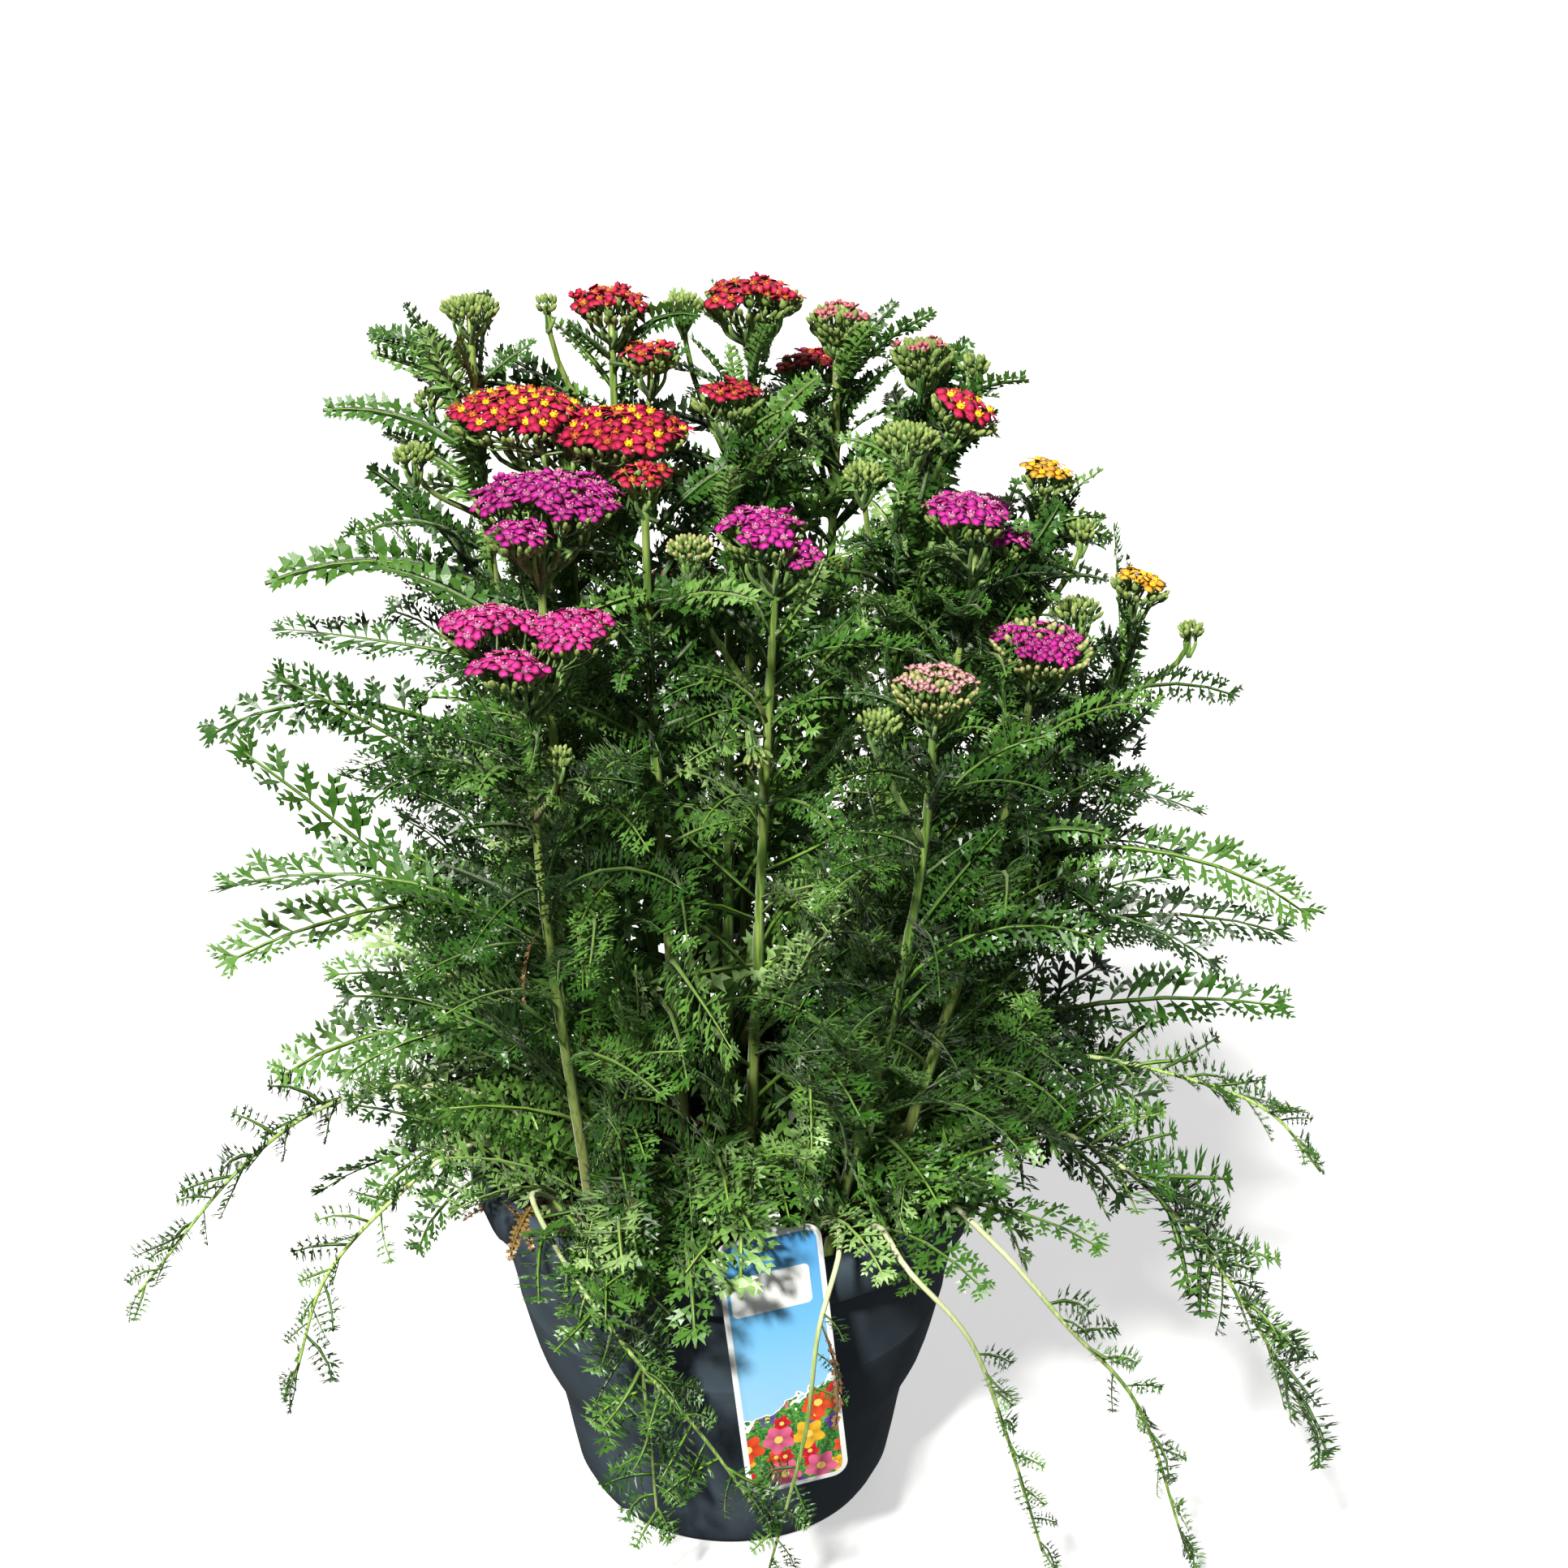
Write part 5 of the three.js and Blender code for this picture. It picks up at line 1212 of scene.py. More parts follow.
def build_head(head, index):
    """The flowers of a head, and the stalks under them."""
    chance = chance_for("head", index)
    kind = "mixed" if head.name in MIXED_HEADS else head.name.split("_")[0]
    open_share, opening_share, bud_share, spacing, petal, disc, grain, tip = COLOURS[kind]
    petal = "fuchsia" if head.name in FUCHSIA_HEADS else petal
    skins, tip = dict(petal="petal_" + petal, disc="disc_" + disc, grain="disc_" + grain), "petal_" + tip
    age = chance.uniform(0.1, 0.9)
    tone = lambda: 0.45 * age + 0.55 * chance.uniform(0, 1)
    flowers, carried = [], []
    for place, up in packed_places(head, spacing, 1.7, chance):
        stage, which, spin = chance.uniform(), chance.integers(6), chance.uniform(0, 360)
        shape, size = FLORETS[which % 3], max(0.9, 0.21 * spacing)
        if stage > open_share:
            shape = OPENING[which % 2]
        if stage > open_share + opening_share:
            shape, size = BUD, 1.1
        leaning = up + chance.normal(0, 0.14, 3)
        dress = dict(petal=tip) if shape is BUD else skins
        if kind == "gold" and chance.uniform() < EYELESS_SHARE:
            dress = dict(skins, disc="disc_rusty", grain="disc_rusty")
        copy = upright_copy(dressed(shape, **dress), place, leaning, spin, size * chance.uniform(0.92, 1.1))
        flowers.append((copy, tone()))
        carried.append((place, up))
    is_deep = kind in DEEP_KINDS
    for place, up in edge_places(head, bud_share, BUD_SPACINGS[is_deep], EDGE_RINGS[is_deep], chance):
        copy = upright_copy(dressed(BUD, petal=tip), place, up, chance.uniform(0, 360), chance.uniform(0.7, 0.95))
        flowers.append((copy, tone()))
        carried.append((place, up))
    return flowers, hang_threads(head, carried, chance, 6 if head.half < 18 else 9)


def build_cluster(head, index, tip):
    """A cluster of closed buds with its stalks."""
    chance = chance_for("cluster", index)
    places = packed_places(head, 2.8, 0.8, chance) + edge_places(head, 0.85, 2.8, ((0.5, 1.6),), chance)
    parts = []
    for place, up in places:
        leaning = up + chance.normal(0, 0.1, 3)
        spin, size = chance.uniform(0, 360), chance.uniform(0.66, 0.85)
        copy = upright_copy(dressed(BUD, petal=tip), place, leaning, spin, size)
        parts.append((copy, chance.uniform(0, 1)))
    return parts + hang_threads(head, places, chance, 7)

# %% Heads and stems
def stem_radius(stem, is_main):
    """How thick a stalk is at each share of its length, with a slight knee where a leaf joins it."""
    if not is_main:
        return lambda t: 1.2 - 0.35 * t
    line = stem["lines"][0]
    shares = np.linspace(0, 1, 60)
    heights = np.array([line(t)[2] for t in shares])
    knees = [shares[np.argmin(np.abs(heights - leaf.root[2]))] for leaf in stem["grown"]]
    return lambda t: 2.3 - 1.05 * t + 0.4 * sum(np.exp(-((t - knee) / 0.012) ** 2) for knee in knees)


head_index = 0
for index, stem in enumerate(STEMS):
    chance = chance_for("stem", index)
    age = chance.uniform(0, 1)
    parts = []
    for i, line in enumerate(stem["lines"]):
        rod = STEM_ROD if i == 0 else BRANCH_ROD
        parts.append((bent(rod, line, stem_radius(stem, i == 0)), age))
    for head in stem["flowers"]:
        flowers, stalks = build_head(head, head_index)
        head_index += 1
        kind = head.name.split("_")[0]
        fuse("florets_" + head.name, flowers, "petals_" + {"gold": "red"}.get(kind, kind), "head_" + head.name)
        parts += stalks
    for head in stem["clusters"]:
        parts += build_cluster(head, head_index, "petal_blush" if stem["name"] == BLUSHING_STEM else "petal_cream")
        head_index += 1
    for leaf in stem["grown"]:
        leaf.roll = 0.35 * leaf.roll + 44 * front_roll(leaf.root, leaf.azimuth)
    parts += [leaf_copy(leaf, chance) for leaf in stem["grown"] + stem["filled"]]
    fuse("leafy_" + stem["name"], parts, "foliage", "stem_" + stem["name"])
flower_faces = sum(count for name, count in triangles.items() if name.startswith("florets"))
print("triangles in heads", flower_faces, "in stems", sum(triangles.values()) - flower_faces)

# %% [markdown]
# ## Runners and tufts
#
# The runners are young shoots that have grown too long and lie over the rim. They are bare and almost white near the
# crown, where they had no light, and carry small leaves further out, one at a time, now on this side and now on that.
# Where such a leaf would run into the pot's wall it is turned away from it. The tufts are the plant's big basal
# leaves.

# %% Runners
POT_WALL = [(0, 53), (41, 64.6), (56, 73), (88, 79.6), (122, 86.5), (131, 93.5), (138, 95), (146, 91)]
# how each runner looks: the share of it that is bare, the distance between its sprigs and their greatest length
RUNNER_LOOKS = {
    "left_high": (0.34, 5, 27), "left_low": (0.34, 5, 26), "front_left": (0.34, 4.4, 31), "front": (0.36, 5, 29),
    "label": (0.44, 7, 22), "front_right": (0.54, 8, 20), "right_low": (0.46, 7, 22), "right_high": (0.3, 4.4, 29),
    "right_long": (0.3, 3.0, 38),
}
SIDE_REACH = 204.0  # no sprig reaches further to a side
SPRIG_TRIES = 6


def is_clear(points):
    """True where no point is inside the pot's wall or further to a side than the plant reaches."""
    return np.abs(points[:, 0]).max() < SIDE_REACH and all(
        hypot(x, y) > np.interp(z, *zip(*POT_WALL)) + 1 or z > 147 for x, y, z in points)


def runner_sprigs(line, ends, looks, chance):
    """Small leaves on a runner's outer part, and a few close together at its tip."""
    bare, step, longest = looks
    first, last = ends
    side = np.array((first[1] - last[1], last[0] - first[0], 0.0))
    side /= np.linalg.norm(side)
    shares = list(np.arange(bare, 0.96, step / line.length) + chance.uniform(-0.2, 0.2) * step / line.length)
    sprigs = []
    for i, share in enumerate(shares + [0.975, 0.985, 0.995]):
        root = line(min(share, 1.0))
        ahead = line(min(share + 0.01, 1.0)) - line(min(share, 0.99) - 0.01)
        ahead /= np.linalg.norm(ahead)
        lift = np.cross(ahead, side)
        lift *= 1 if lift[2] + 0.5 * lift @ root / np.linalg.norm(root) > 0 else -1
        for _ in range(SPRIG_TRIES):
            turn, off = radians(chance.uniform(-35, 75)), radians(chance.uniform(28, 66) if share < 0.97 else 20)
            across = cos(turn) * side * (-1) ** i + sin(turn) * lift
            way = cos(off) * ahead + sin(off) * across
            length = longest * chance.uniform(0.5, 1.0) * (1.12 - 0.4 * share)
            rise = degrees(np.arcsin(np.clip(way[2], -1, 1)))
            azimuth = degrees(atan2(way[1], way[0]))
            sprig = Leaf(root, azimuth, length, rise + chance.uniform(-5, 30), rise - chance.uniform(-10, 45),
                         facing_roll(root, azimuth, chance))
            sprig.half = 0.4 * length
            near = sprig.rib(3)[1] - LABEL_MIDDLE
            if is_clear(sprig.rib(4)[1:]) and not (abs(near[0]) < 20 and -36 < near[2] < 50 and near[1] < 6):
                sprigs.append(leaf_copy(sprig, chance, "sprig"))
                break
    return sprigs


def pale_runner(line, radius, chance):
    return bent(RUNNER_ROD, line, lambda t: radius * (1 - 0.6 * t), "runner"), chance.uniform(0.4, 0.9)


for index, (name, (path, _)) in enumerate(RUNNERS.items()):
    chance = chance_for("runner", index)
    line, leaves = runner_parts[name]
    parts = [pale_runner(line, 1.2, chance)]
    parts += runner_sprigs(line, (path[0], path[-1]), RUNNER_LOOKS[name], chance)
    parts += [leaf_copy(leaf, chance, "basal") for leaf in leaves]
    fuse("trailing_" + name, parts, "foliage", "runner_" + name)

# %% Tufts and the leaves of the crown
for index, (name, ((x, y), line, leaves)) in enumerate(tuft_parts.items()):
    chance = chance_for("tuft", index)
    stock = stalk_line((x, y, SOIL_TOP - STEM_SINK), (x, y, CROWN_TOP), (0, 0, 1))
    parts = [(bent(BRANCH_ROD, stock, lambda t: 2.3 - 0.7 * t), 0.8)]
    if line:
        parts += [pale_runner(line, 1.35, chance)]
        parts += runner_sprigs(line, ((x, y), TUFTS[name][2][-1]), (0.3, 8, 20), chance)
    parts += [leaf_copy(leaf, chance, "basal") for leaf in leaves]
    fuse("basal_" + name, parts, "foliage", "tuft_" + name)


# how many leaves the crown tries, how far out they rise, and from where on they are basal ones
CROWN_COUNT, CROWN_REACH, BASAL_FROM = 110, 72, 46


def crown_leaves(count):
    """Steep leaves that rise straight from the soil all over the pot."""
    chance = chance_for("crown")
    leaves = []
    for i in range(count):
        out, azimuth = CROWN_REACH * sqrt((i + 0.5) / count), GOLDEN_ANGLE * i
        x, y, _ = out * heading(azimuth)
        rise = 84 - 24 * out / CROWN_REACH + chance.uniform(-10, 8)
        turned_to = azimuth + chance.uniform(-60, 60)
        leaf = try_leaf(Leaf((x, y, SOIL_TOP - 2), turned_to, chance.uniform(74, 124), rise,
                             chance.uniform(-50, 45) - 30 * out / CROWN_REACH,
                             facing_roll((x, y), turned_to, chance)))
        if leaf:
            leaf.half *= 1.25 if out > BASAL_FROM else 1.0
            leaves.append(leaf_copy(leaf, chance, "basal" if out > BASAL_FROM else None))
    return leaves


# big leaves that show their faces in front, over the rim and above it: foot, azimuth, length, slopes at the root and
# the tip, roll, half width as a multiple of a plain leaf's, tone
FACING = [
    ((-10, -44, 142), 261, 83, 86, -87, 6, 1.6, 0.42), ((3, -46, 143), 272, 108, 87, -64, -6, 1.35, 0.85),
    ((12, -50, 143), 280, 80, 87, -30, 0, 1.1, 0.4),
    ((41, -45, 141), 296, 60, 49, -56, 4, 1.7, 0.5), ((50, -50, 175), 293, 56, 34, -28, 10, 1.5, 0.62),
    ((-33, -35, 138), 192, 54, 70, -27, -46, 1.4, 0.25), ((-38, -56, 182), 287, 50, 59, -27, 8, 1.4, 0.5),
    ((28, -52, 201), 271, 48, 37, -58, -6, 1.3, 0.9), ((-24, -60, 138), 247, 84, 72, -72, -8, 1.3, 0.55),
    ((-34, -52, 138), 250, 66, 74, -44, -20, 1.2, 0.3), ((-70, -20, 150), 196, 72, 40, -70, -30, 1.5, 0.5),
    ((-66, -36, 150), 214, 62, 40, -74, -20, 1.4, 0.35), ((-72, -8, 190), 184, 96, 20, -40, -50, 1.3, 0.6),
    ((-80, -8, 300), 183, 104, 40, -32, -42, 1.1, 0.1), ((-64, -20, 205), 184, 148, 54, 40, -40, 0.85, 0.35),
    # these two face the key light, and their low tones are painted shade that dims them
    ((70, -30, 170), 338, 84, 30, -60, 30, 1.4, -0.4), ((72, -12, 185), 352, 90, 20, -50, 46, 1.4, 0.1),
]
# straps near the highest heads, written the same way
HIGH = [
    ((-30, 0, 394), 176, 50, 42, 4, -40, 1.2, 0.3), ((-32, 2, 402), 204, 40, 22, -16, -40, 1.2, 0.15),
    ((-79, -4, 438), 180, 34, 2, 16, -44, 1.1, 0.3), ((-81, -5, 419), 190, 29, 58, 42, -50, 1.3, 0.6),
    ((-79, -5, 427), 4, 25, 44, 30, 40, 1.2, 0.35), ((-37, 6, 432), 350, 28, -8, 32, 34, 1.3, 0.3),
    ((44, 6, 384), 8, 46, 44, 10, 40, 1.2, 0.4), ((40, 0, 372), 350, 44, 36, -10, 40, 1.2, 0.2),
    ((38, 8, 396), 170, 40, 40, 10, -40, 1.2, 0.5), ((0, -18, 396), 165, 36, 50, 10, -40, 1.2, 0.2),
    ((0, -14, 404), 190, 34, 30, -10, -40, 1.2, 0.4), ((-20, -40, 392), 20, 34, 50, 20, 40, 1.2, 0.3),
    ((-20, -38, 372), 30, 36, 60, 30, 40, 1.2, 0.2), ((-4, -24, 376), 190, 36, 50, 10, -40, 1.2, 0.35),
    ((-22, -10, 372), 5, 40, 50, 20, 40, 1.2, 0.5), ((30, 10, 380), 200, 40, 50, 20, -40, 1.2, 0.25),
]
crown = crown_leaves(CROWN_COUNT)
chance = chance_for("facing")
for i, (root, azimuth, length, rise, droop, roll, wide, tone) in enumerate(FACING + HIGH):
    leaf = Leaf(root, azimuth, length, rise, droop, roll)
    leaf.half *= wide
    crown.append((leaf_copy(leaf, chance, "basal" if i < len(FACING) else "strap", 0.3)[0], tone))
fuse("crown_leaves", crown, "foliage")
print("leaves from the crown:", len(crown), "triangles in all so far:", sum(triangles.values()))

# %% [markdown]
# ## Withered leaves
#
# Low leaves that get no light die and stay where they are: on the rim, in front of it, under the crown and beside the
# label. Each is a copy of the small leaf, narrower because a dry blade rolls up, in the papery finish.

# %% Dry leaves
WITHERED = [
    # stalk and the share of it where the leaf hangs, or a place on the pot; azimuth, length, slopes at the root and
    # the tip, roll, share of a fresh leaf's width, skin
    ((-79, -51, 148), 303, 24, 4, -42, -30, 0.7, "dry"), (("front_left", 0.3), 250, 24, 10, -60, -20, 0.8, "dying"),
    (("front", 0.2), 282, 30, -20, -86, 40, 0.5, "dry"), (("label", 0.46), 300, 40, -60, -92, 70, 0.4, "dry"),
    ((-70, -34, 137), 200, 26, 12, -24, -40, 0.6, "dry"), ((-62, -46, 137), 150, 24, 8, -12, 20, 0.7, "dying"),
    (("magenta_low", 0.66), 250, 30, -20, -84, 60, 0.4, "dry"), ((62, 44, 137), 60, 28, 14, -20, 10, 0.6, "dry"),
    (("pale", 0.5), 230, 34, 0, -88, 40, 0.45, "dry"), (("back_middle", 0.4), 80, 30, 0, -80, 20, 0.5, "dry"),
]
LINES = {stem["name"]: stem["lines"][0] for stem in STEMS} | {name: part[0] for name, part in runner_parts.items()}
chance = chance_for("withered")
withered = []
for root, azimuth, length, rise, droop, roll, share, skin in WITHERED:
    root = LINES[root[0]](root[1]) if len(root) == 2 else root
    leaf = Leaf(root, azimuth, length, rise, droop, roll)
    leaf.half *= share
    shape, tone = leaf_copy(leaf, chance, "short")
    withered.append((dressed(shape, blade=skin, rib=skin), tone))
fuse("withered_leaves", withered, "foliage")
print("withered leaves", len(withered))

# %% [markdown]
# ## The pot
#
# The pot is one injection moulding of polypropylene, about 190 mm across its rolled rim, with a bowl-like body, a
# narrower foot, and two stretches where the rim reaches lower as a grip. It is turned like a bowl on a lathe: its
# outline is drawn one point at a time and spun round the Z axis. Then the grips are drawn down and the holes cut.

# %% Outline and spin
SPIN_STEPS, WELD = 96, 0.004  # steps of a full turn, and how close two points are that become one


def turned(name, outline):
    """Spins an outline of [radius, height] points round Z into a closed solid."""
    piece = begin(bpy.ops.mesh.primitive_plane_add, size=1)
    piece.name = name
    choose(piece)
    bpy.ops.mesh.merge(type="CENTER")
    shift(outline[0][0], 0, outline[0][1])
    for (r, z), (next_r, next_z) in zip(outline, outline[1:]):
        bpy.ops.mesh.extrude_vertices_move(TRANSFORM_OT_translate={"value": (next_r - r, 0, next_z - z)})
    bpy.ops.mesh.select_all(action="SELECT")
    bpy.ops.mesh.spin(steps=SPIN_STEPS, angle=2 * pi, center=(0, 0, 0), axis=(0, 0, 1))
    bpy.ops.mesh.select_all(action="SELECT")
    bpy.ops.mesh.remove_doubles(threshold=WELD)
    bpy.ops.mesh.normals_make_consistent(inside=False)
    bpy.ops.object.mode_set(mode="OBJECT")
    return piece


def settled(piece, finish, slot, *nodes):
    """Turns a piece from millimetres to metres in its mesh, gives it its finish and hands it to the frame."""
    piece.data.transform(Matrix.Scale(MM, 4))
    piece.data.materials.clear()
    piece.data.materials.append(FINISHES[finish])
    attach(piece, "root")
    if nodes:
        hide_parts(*nodes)
    triangles[piece.name] = sum(len(face.vertices) - 2 for face in piece.data.polygons)


POT_OUTLINE = [
    (0, 1.2), (47, 1.2), (48.5, 0), (53, 0), (54.6, 1.0), (56.4, 4), (59.6, 11), (62, 24), (63.8, 35), (65.2, 42),
    (67.4, 48.6), (70, 54), (72.4, 59.5), (74.4, 66), (76.4, 74), (78.3, 82.5), (79.5, 87.4), (79.6, 88.4),
    (79.4, 89.4), (82.6, 105), (85.4, 119.6), (86.9, 127.6), (87.3, 129.3), (88.2, 130.1), (90.2, 129.9),
    (91.5, 129.1), (92.6, 129.5), (93.4, 131), (94.5, 134.5), (95, 138), (94.8, 140.6), (94.1, 142.6), (92.8, 144.4),
    (90.8, 145.6),
    (88.6, 146), (87.1, 145.3), (86.1, 143.6), (85.2, 138.5), (84.1, 130), (80.6, 108), (76.5, 86), (70, 62),
    (62.4, 41), (57, 20), (52.6, 4.4), (51.4, 3), (0, 3),
]
pot = turned("pot_moulded", POT_OUTLINE)

# %% Grips and drain holes
GRIP_AZIMUTH, GRIP_HALF_SPAN, GRIP_FADE, GRIP_DROP, GRIP_TUCK = -10.5, 38.0, 12.0, 7.0, 2.5
RIM_FROM, RIM_FOLD = 88.5, 136  # the rim's skirt lies further out than this and lower than this
DRAIN_HOLES, DRAIN_CIRCLE, DRAIN_RADIUS = 4, 34, 4
for vertex in pot.data.vertices:
    x, y, z = vertex.co
    out = hypot(x, y)
    off = abs((degrees(atan2(y, x)) - GRIP_AZIMUTH + 90) % 180 - 90)
    share = min(max((GRIP_HALF_SPAN + GRIP_FADE / 2 - off) / GRIP_FADE, 0), 1)
    share = share * share * (3 - 2 * share)
    if out > RIM_FROM and z < RIM_FOLD:
        low = share * min(1.0, (RIM_FOLD - z) / 6)
        scale = 1 - GRIP_TUCK * low / out
        vertex.co = (x * scale, y * scale, z - GRIP_DROP * low)
for i in range(DRAIN_HOLES):
    place = DRAIN_CIRCLE * heading(45 + 90 * i)
    drill = begin(bpy.ops.mesh.primitive_cylinder_add, vertices=24, radius=DRAIN_RADIUS, depth=20, location=place)
    cut = pot.modifiers.new("drain_hole", "BOOLEAN")
    cut.operation, cut.solver, cut.object = "DIFFERENCE", "EXACT", drill
    bpy.context.view_layer.objects.active = pot
    bpy.ops.object.modifier_apply(modifier=cut.name)
    bpy.data.objects.remove(drill, do_unlink=True)
select_only(pot)
bpy.ops.object.shade_smooth_by_angle(angle=radians(38))
print("pot", len(pot.data.polygons), "faces")

# %% [markdown]
# ### Moulded polypropylene
#
# Nursery pots are moulded from recycled polypropylene: a slate blue-grey with a satin, slightly mottled skin. In use
# it gets fine scuffs that run round the pot, and dry dust in patches, which turns it paler and duller.

# %% Pot finish
finish, tree, place = new_finish("polypropylene_moulded_dusty", 0.46, 0.2)
FINISHES["pot"] = finish
mottle = add_node(tree, "TexNoise", {"Vector": place, "Scale": 22.0, "Detail": 4.0})
slate = add_node(tree, "ValToRGB", {"Fac": mottle}, [(0.3, 0x333E46), (0.55, 0x3F4A53), (0.75, 0x4C5861)])
dust_patch = add_node(tree, "TexNoise", {"Vector": place, "Scale": 9.0, "Detail": 5.0, "Roughness": 0.65})
dust_grain = add_node(tree, "TexNoise", {"Vector": place, "Scale": 420.0, "Detail": 2.0})
dust_sum = add_node(tree, "Math", {0: dust_grain, 1: 0.4, 2: dust_patch}, operation="MULTIPLY_ADD")
dust = add_node(tree, "MapRange", {"Value": dust_sum, "From Min": 0.74, "From Max": 1.04, "To Max": 0.2})
dusty = add_node(tree, "Mix", {0: dust, 6: slate, 7: linear(0x666C70)}, data_type="RGBA")
ringed = add_node(tree, "Mapping", {"Vector": place, "Scale": (0.14, 0.14, 1.0)})
scratch = add_node(tree, "TexNoise", {"Vector": ringed, "Scale": 700.0, "Detail": 2.0})
scuff = add_node(tree, "MapRange", {"Value": scratch, "From Min": 0.7, "From Max": 0.78, "To Max": 0.25})
add_node(tree, "Mix", {0: scuff, 6: dusty, 7: linear(0x5A646E)}, data_type="RGBA", feeds="Base Color")
dry = {"Value": dust_sum, "From Min": 0.5, "From Max": 1.0, "To Min": 0.36, "To Max": 0.7}
add_node(tree, "MapRange", dry, feeds="Roughness")
add_node(tree, "Bump", {"Height": dust_grain, "Strength": 0.2, "Distance": 0.0002}, feeds="Normal")
settled(pot, "pot", "pot_plastic", "pot")

# %% [markdown]
# ## The compost
#
# The pot is filled with a bark compost. The bed is turned like the pot, to the inside of its wall, and its top is
# then raised and lowered by a few octaves of noise. The crumbs and chips of bark on it are copies of three small
# blocks, each cut to a rough splinter.

# %% Bed
def soil_height(x, y):
    return SOIL_TOP + 2.2 * sin(x / 17 + 1) * cos(y / 14) - 0.0004 * (x * x + y * y)


bed_rings = [(r, SOIL_TOP) for r in np.arange(82.5, 0, -2.9)]
bed = turned("compost_bed", [(0, 3.4), (51, 3.4), (62, 41), (76.1, 86), (83.2, 129), *bed_rings, (0, SOIL_TOP)])
for vertex in bed.data.vertices:
    x, y, z = vertex.co
    if z > SOIL_TOP - 1:
        rough = 1.6 * noise.fractal(Vector((x, y, 0)) / 6.0, 0.8, 2.0, 4)
        vertex.co.z = soil_height(x, y) + (rough if hypot(x, y) < 82 else -1.5)
bed.data.shade_smooth()
FINISHES["compost"] = grainy_finish("bark_compost_damp", (0x1C120B, 0x33231A, 0x57412F), 1.6, 0.92)
settled(bed, "compost", "compost", "soil")


# %% Bark chips
def model_chip(length, width, thickness, cut):
    """A splinter of bark: a block with its corners cut off by slanting planes."""
    chip = begin(bpy.ops.mesh.primitive_cube_add, size=1)
    choose(chip)
    bpy.ops.transform.resize(value=(length, width, thickness))
    for normal, depth in cut:
        choose(chip, "FACE")
        side = Vector(normal).normalized()
        bpy.ops.mesh.bisect(plane_co=side * depth, plane_no=side, use_fill=True, clear_outer=True)
    return take(chip, "bark")


CHIPS = [
    model_chip(7, 2.6, 1.4, [((1, 0.8, 0.3), 2.2), ((-1, 0.5, -0.4), 2.4), ((0.2, -1, 0.8), 1.0)]),
    model_chip(5, 3.6, 1.8, [((1, -0.6, 0.5), 1.7), ((-0.8, -1, 0.3), 1.6), ((0.3, 1, 0.9), 1.2)]),
    model_chip(3, 2.6, 2.2, [((1, 0.4, 0.7), 1.0), ((-1, 0.3, 0.6), 1.0), ((0.1, -1, 0.7), 0.9)]),
]
FINISHES["bark"] = grainy_finish("pine_bark_shredded", (0x2A1A10, 0x553824, 0x8A6748), 1.1, 0.85)
chance = chance_for("bark")
bark = []
BARK_COUNT, BARK_REACH = 500, 81.5
for i in range(BARK_COUNT):
    out, azimuth = BARK_REACH * sqrt(chance.uniform()), chance.uniform(0, 360)
    x, y, _ = out * heading(azimuth)
    lay = spread(x, y, soil_height(x, y) + chance.uniform(-0.2, 1.6),
                 (chance.uniform(-40, 40), chance.uniform(-35, 35), chance.uniform(0, 360)),
                 (chance.uniform(0.5, 1.25),) * 3)
    bark.append((CHIPS[chance.integers(3)].moved(lay), chance.uniform(0, 1)))
fuse("bark_chips", bark, "compost")
print("bark chips", len(bark), "of", [len(chip.faces) for chip in CHIPS], "faces")

# %% [markdown]
# ## The label
#
# The label is die-cut from a white plastic sheet 0.9 mm thick and printed on its face. A plate with rounded corners
# hangs outside the pot, and a narrow neck runs over the rim and down into the compost. The plate is a plane with its
# corners bevelled, given its thickness and a slightly softened edge. The neck is a grid whose rows are moved onto its
# bent middle line.

# %% Plate and neck
LABEL_WIDTH, LABEL_LENGTH, LABEL_THICKNESS, LABEL_CORNER, NECK_WIDTH = 36.0, 106.0, 0.9, 6, 11
LABEL_PLACE = (Matrix.Translation((14, -101, 169)) @ Matrix.Rotation(radians(14), 4, "Z")
               @ Matrix.Rotation(radians(-6), 4, "Y"))
plate = begin(bpy.ops.mesh.primitive_plane_add, size=1, rotation=(pi / 2, 0, 0))
plate.name = "label_card"
choose(plate)
bpy.ops.transform.resize(value=(LABEL_WIDTH, 1, LABEL_LENGTH))
shift(0, -LABEL_THICKNESS / 2, -LABEL_LENGTH / 2)
bpy.ops.mesh.bevel(affect="VERTICES", offset=LABEL_CORNER, segments=8)
choose(plate, "FACE")
bpy.ops.mesh.extrude_region_move(TRANSFORM_OT_translate={"value": (0, LABEL_THICKNESS, 0)})
choose(plate, "EDGE", lambda edge: edge.calc_face_angle(0) > 1.2)
bpy.ops.mesh.bevel(offset=0.18, segments=2)
choose(plate, "FACE")
bpy.ops.mesh.normals_make_consistent(inside=False)
bpy.ops.object.mode_set(mode="OBJECT")

NECK_LINE = runner_line([(0, 0, -8), (0, 0.6, 0), (0, 4, 4.2), (0, 9.5, 5), (0, 16, 1.5), (0, 22.5, -14),
                         (0, 23.5, -44)])
NECK_ROWS, ASIDE = 28, 1000
neck = begin(bpy.ops.mesh.primitive_grid_add, x_subdivisions=1, y_subdivisions=NECK_ROWS, size=NECK_WIDTH)
for row in range(NECK_ROWS + 1):
    level = NECK_WIDTH * (row / NECK_ROWS - 0.5)
    _, y, z = NECK_LINE(row / NECK_ROWS)
    choose(neck, "VERT", lambda vertex: abs(vertex.co.y - level) < 0.01 and abs(vertex.co.z) < 1e-6)
    # a row that is done waits far above, where the next test doesn't find it
    shift(0, y - level, z + ASIDE)
choose(neck)
shift(0, 0, -ASIDE)
bpy.ops.object.mode_set(mode="OBJECT")
wall = neck.modifiers.new("sheet", "SOLIDIFY")
wall.thickness, wall.offset = LABEL_THICKNESS, 0.0
bpy.ops.object.modifier_apply(modifier=wall.name)
select_only(neck, plate)
